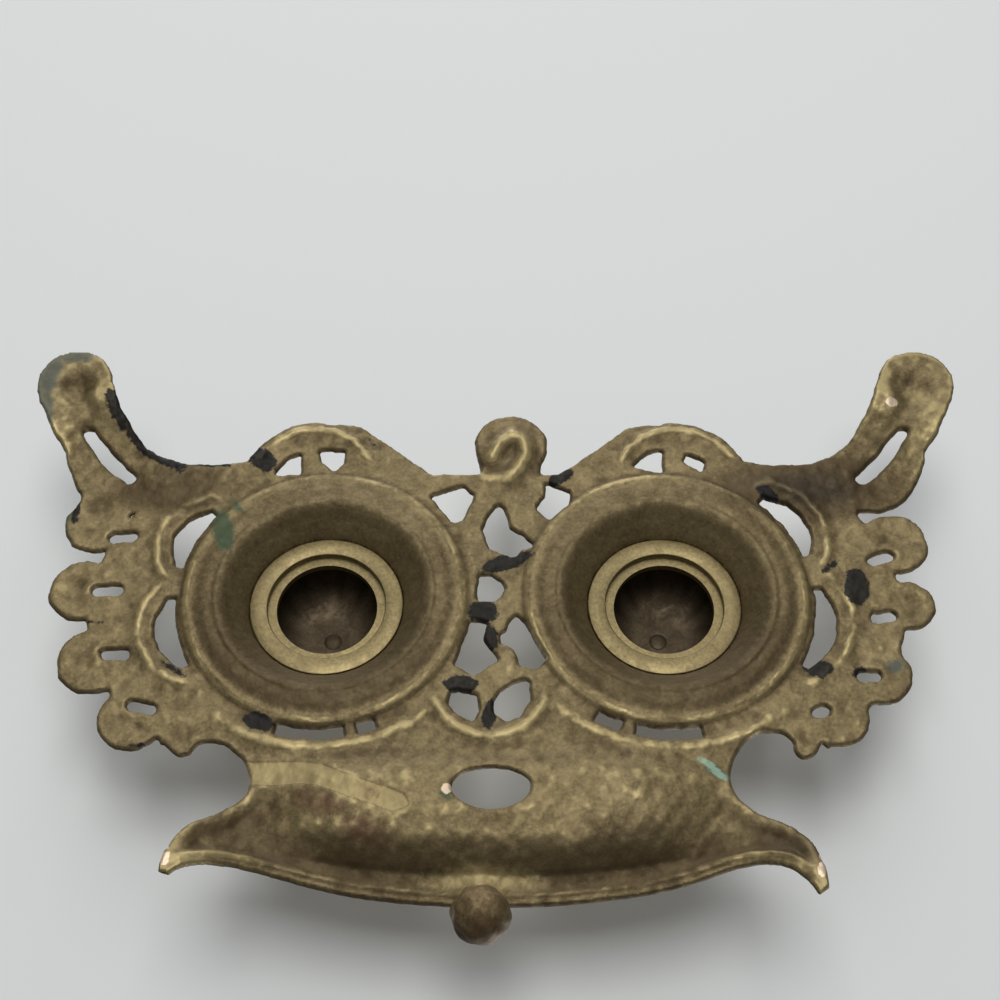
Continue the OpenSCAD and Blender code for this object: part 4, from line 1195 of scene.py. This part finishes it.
# Camera: upward tilt in degrees, distance from what it aims at in metres, focal length in mm, and
# the point it aims at in millimetres
TILT, DISTANCE, FOCAL_LENGTH = 57.5, 0.48, 60.66
AIM = (-1.265, 30.88 + WELL_Y, 10)
# Lamps: direction from the stand, distance and width in metres, power, whether it casts shadows
LAMPS = {
    "sky_below": ((0, 0.05, -0.99), 1.5, 0.8, 13, True),
    "sky_behind": ((0, 0.6, -0.8), 1.5, 1, 5.5, True),
    "window_below": ((0.08, 0.985, -0.11), 1.5, 0.9, 9, False),
    "key_above": ((-0.35, -0.45, 0.82), 1.5, 1.1, 11, True),
    "fill_above": ((0.6, 0.4, 0.7), 1.6, 1.2, 4, True),
}


class INKSTAND_OT_stage(bpy.types.Operator):
    """Sets the camera below the stand, a backdrop over its knobs, a floor under its feet and the lamps"""
    bl_idname = "inkstand.stage"
    bl_label = "Set Stage"

    def execute(self, context):
        scene = context.scene
        tint = scene.inkstand_colours.floor
        self.plane("stage_floor", (-3, 3), (-3, 3), 0, tint, False)
        self.plane("stage_backdrop", (-0.26, 0.26), (-0.13, 0.36), KNOB_TOP * MM + 0.0002, tint, True)
        forward, up = (Vector((0, *polar(angle, 1))) for angle in (TILT, TILT - 90))
        spot = Vector(AIM) * MM - DISTANCE * forward
        data = bpy.data.cameras.new("photograph_camera")
        data.sensor_fit = "HORIZONTAL"
        data.sensor_width = 36
        data.lens = FOCAL_LENGTH
        data.clip_start = 0.01
        camera = bpy.data.objects.new("photograph_camera", data)
        axes = Matrix(((-1, 0, 0), up, -forward)).transposed()
        camera.matrix_world = Matrix.Translation(spot) @ axes.to_4x4()
        scene.collection.objects.link(camera)
        scene.camera = camera
        for name, settings in LAMPS.items():
            self.lamp(name, *settings)
        world = Nodes(bpy.data.worlds.new("pale_room"))
        room = world.glow("ShaderNodeBackground", (0.93, 0.96, 1), 0.16)
        seen = world.glow("ShaderNodeBackground", linear(224, 228, 230), 1)
        world.feed(world.add("ShaderNodeOutputWorld"), Surface=world.camera_share(room, seen))
        scene.world = world.owner
        scene.view_settings.view_transform = "Standard"
        return {"FINISHED"}

    def plane(self, name, across, along_y, height, tint, faces_down):
        mesh = bpy.data.meshes.new(name)
        (left, right), (front, back) = across, along_y
        corners = [(left, front, height), (right, front, height), (right, back, height),
                   (left, back, height)]
        mesh.from_pydata(corners, [], [(3, 2, 1, 0) if faces_down else (0, 1, 2, 3)])
        mesh.materials.append(stage_finish(name + "_paper", tint))
        sheet = bpy.data.objects.new(name, mesh)
        bpy.context.scene.collection.objects.link(sheet)

    def lamp(self, name, way, distance, width, power, shadow):
        """Square soft lamp in that direction from the stand, aimed at it."""
        data = bpy.data.lights.new(name, "AREA")
        data.shape = "SQUARE"
        data.size = width
        data.energy = power
        data.use_shadow = shadow
        lamp = bpy.data.objects.new(name, data)
        way = Vector(way).normalized()
        lamp.location = way * distance
        lamp.rotation_euler = way.to_track_quat("Z", "Y").to_euler()
        bpy.context.scene.collection.objects.link(lamp)


class INKSTAND_PT_panel(bpy.types.Panel):
    """Lists the inkstand's pieces, sizes and colours"""
    bl_label = "Inkstand"
    bl_idname = "INKSTAND_PT_panel"
    bl_space_type = "VIEW_3D"
    bl_region_type = "UI"
    bl_category = "Inkstand"

    def draw(self, context):
        for maker in MAKERS:
            self.layout.operator(maker.bl_idname)
        for group in (context.scene.inkstand_sizes, context.scene.inkstand_colours):
            for key in group.__annotations__:
                self.layout.prop(group, key)


MAKERS = (INKSTAND_OT_casting, INKSTAND_OT_collars, INKSTAND_OT_lids, INKSTAND_OT_stage)
CLASSES = (InkstandSizes, InkstandColours) + MAKERS + (INKSTAND_PT_panel,)


def register():
    for one in CLASSES:
        bpy.utils.register_class(one)
    bpy.types.Scene.inkstand_sizes = bpy.props.PointerProperty(type=InkstandSizes)
    bpy.types.Scene.inkstand_colours = bpy.props.PointerProperty(type=InkstandColours)


def unregister():
    del bpy.types.Scene.inkstand_sizes
    del bpy.types.Scene.inkstand_colours
    for one in reversed(CLASSES):
        bpy.utils.unregister_class(one)


def main():
    register()
    bpy.ops.inkstand.casting()
    bpy.ops.inkstand.collars()
    bpy.ops.inkstand.lids()
    bpy.ops.inkstand.stage()


if __name__ == "__main__":
    main()
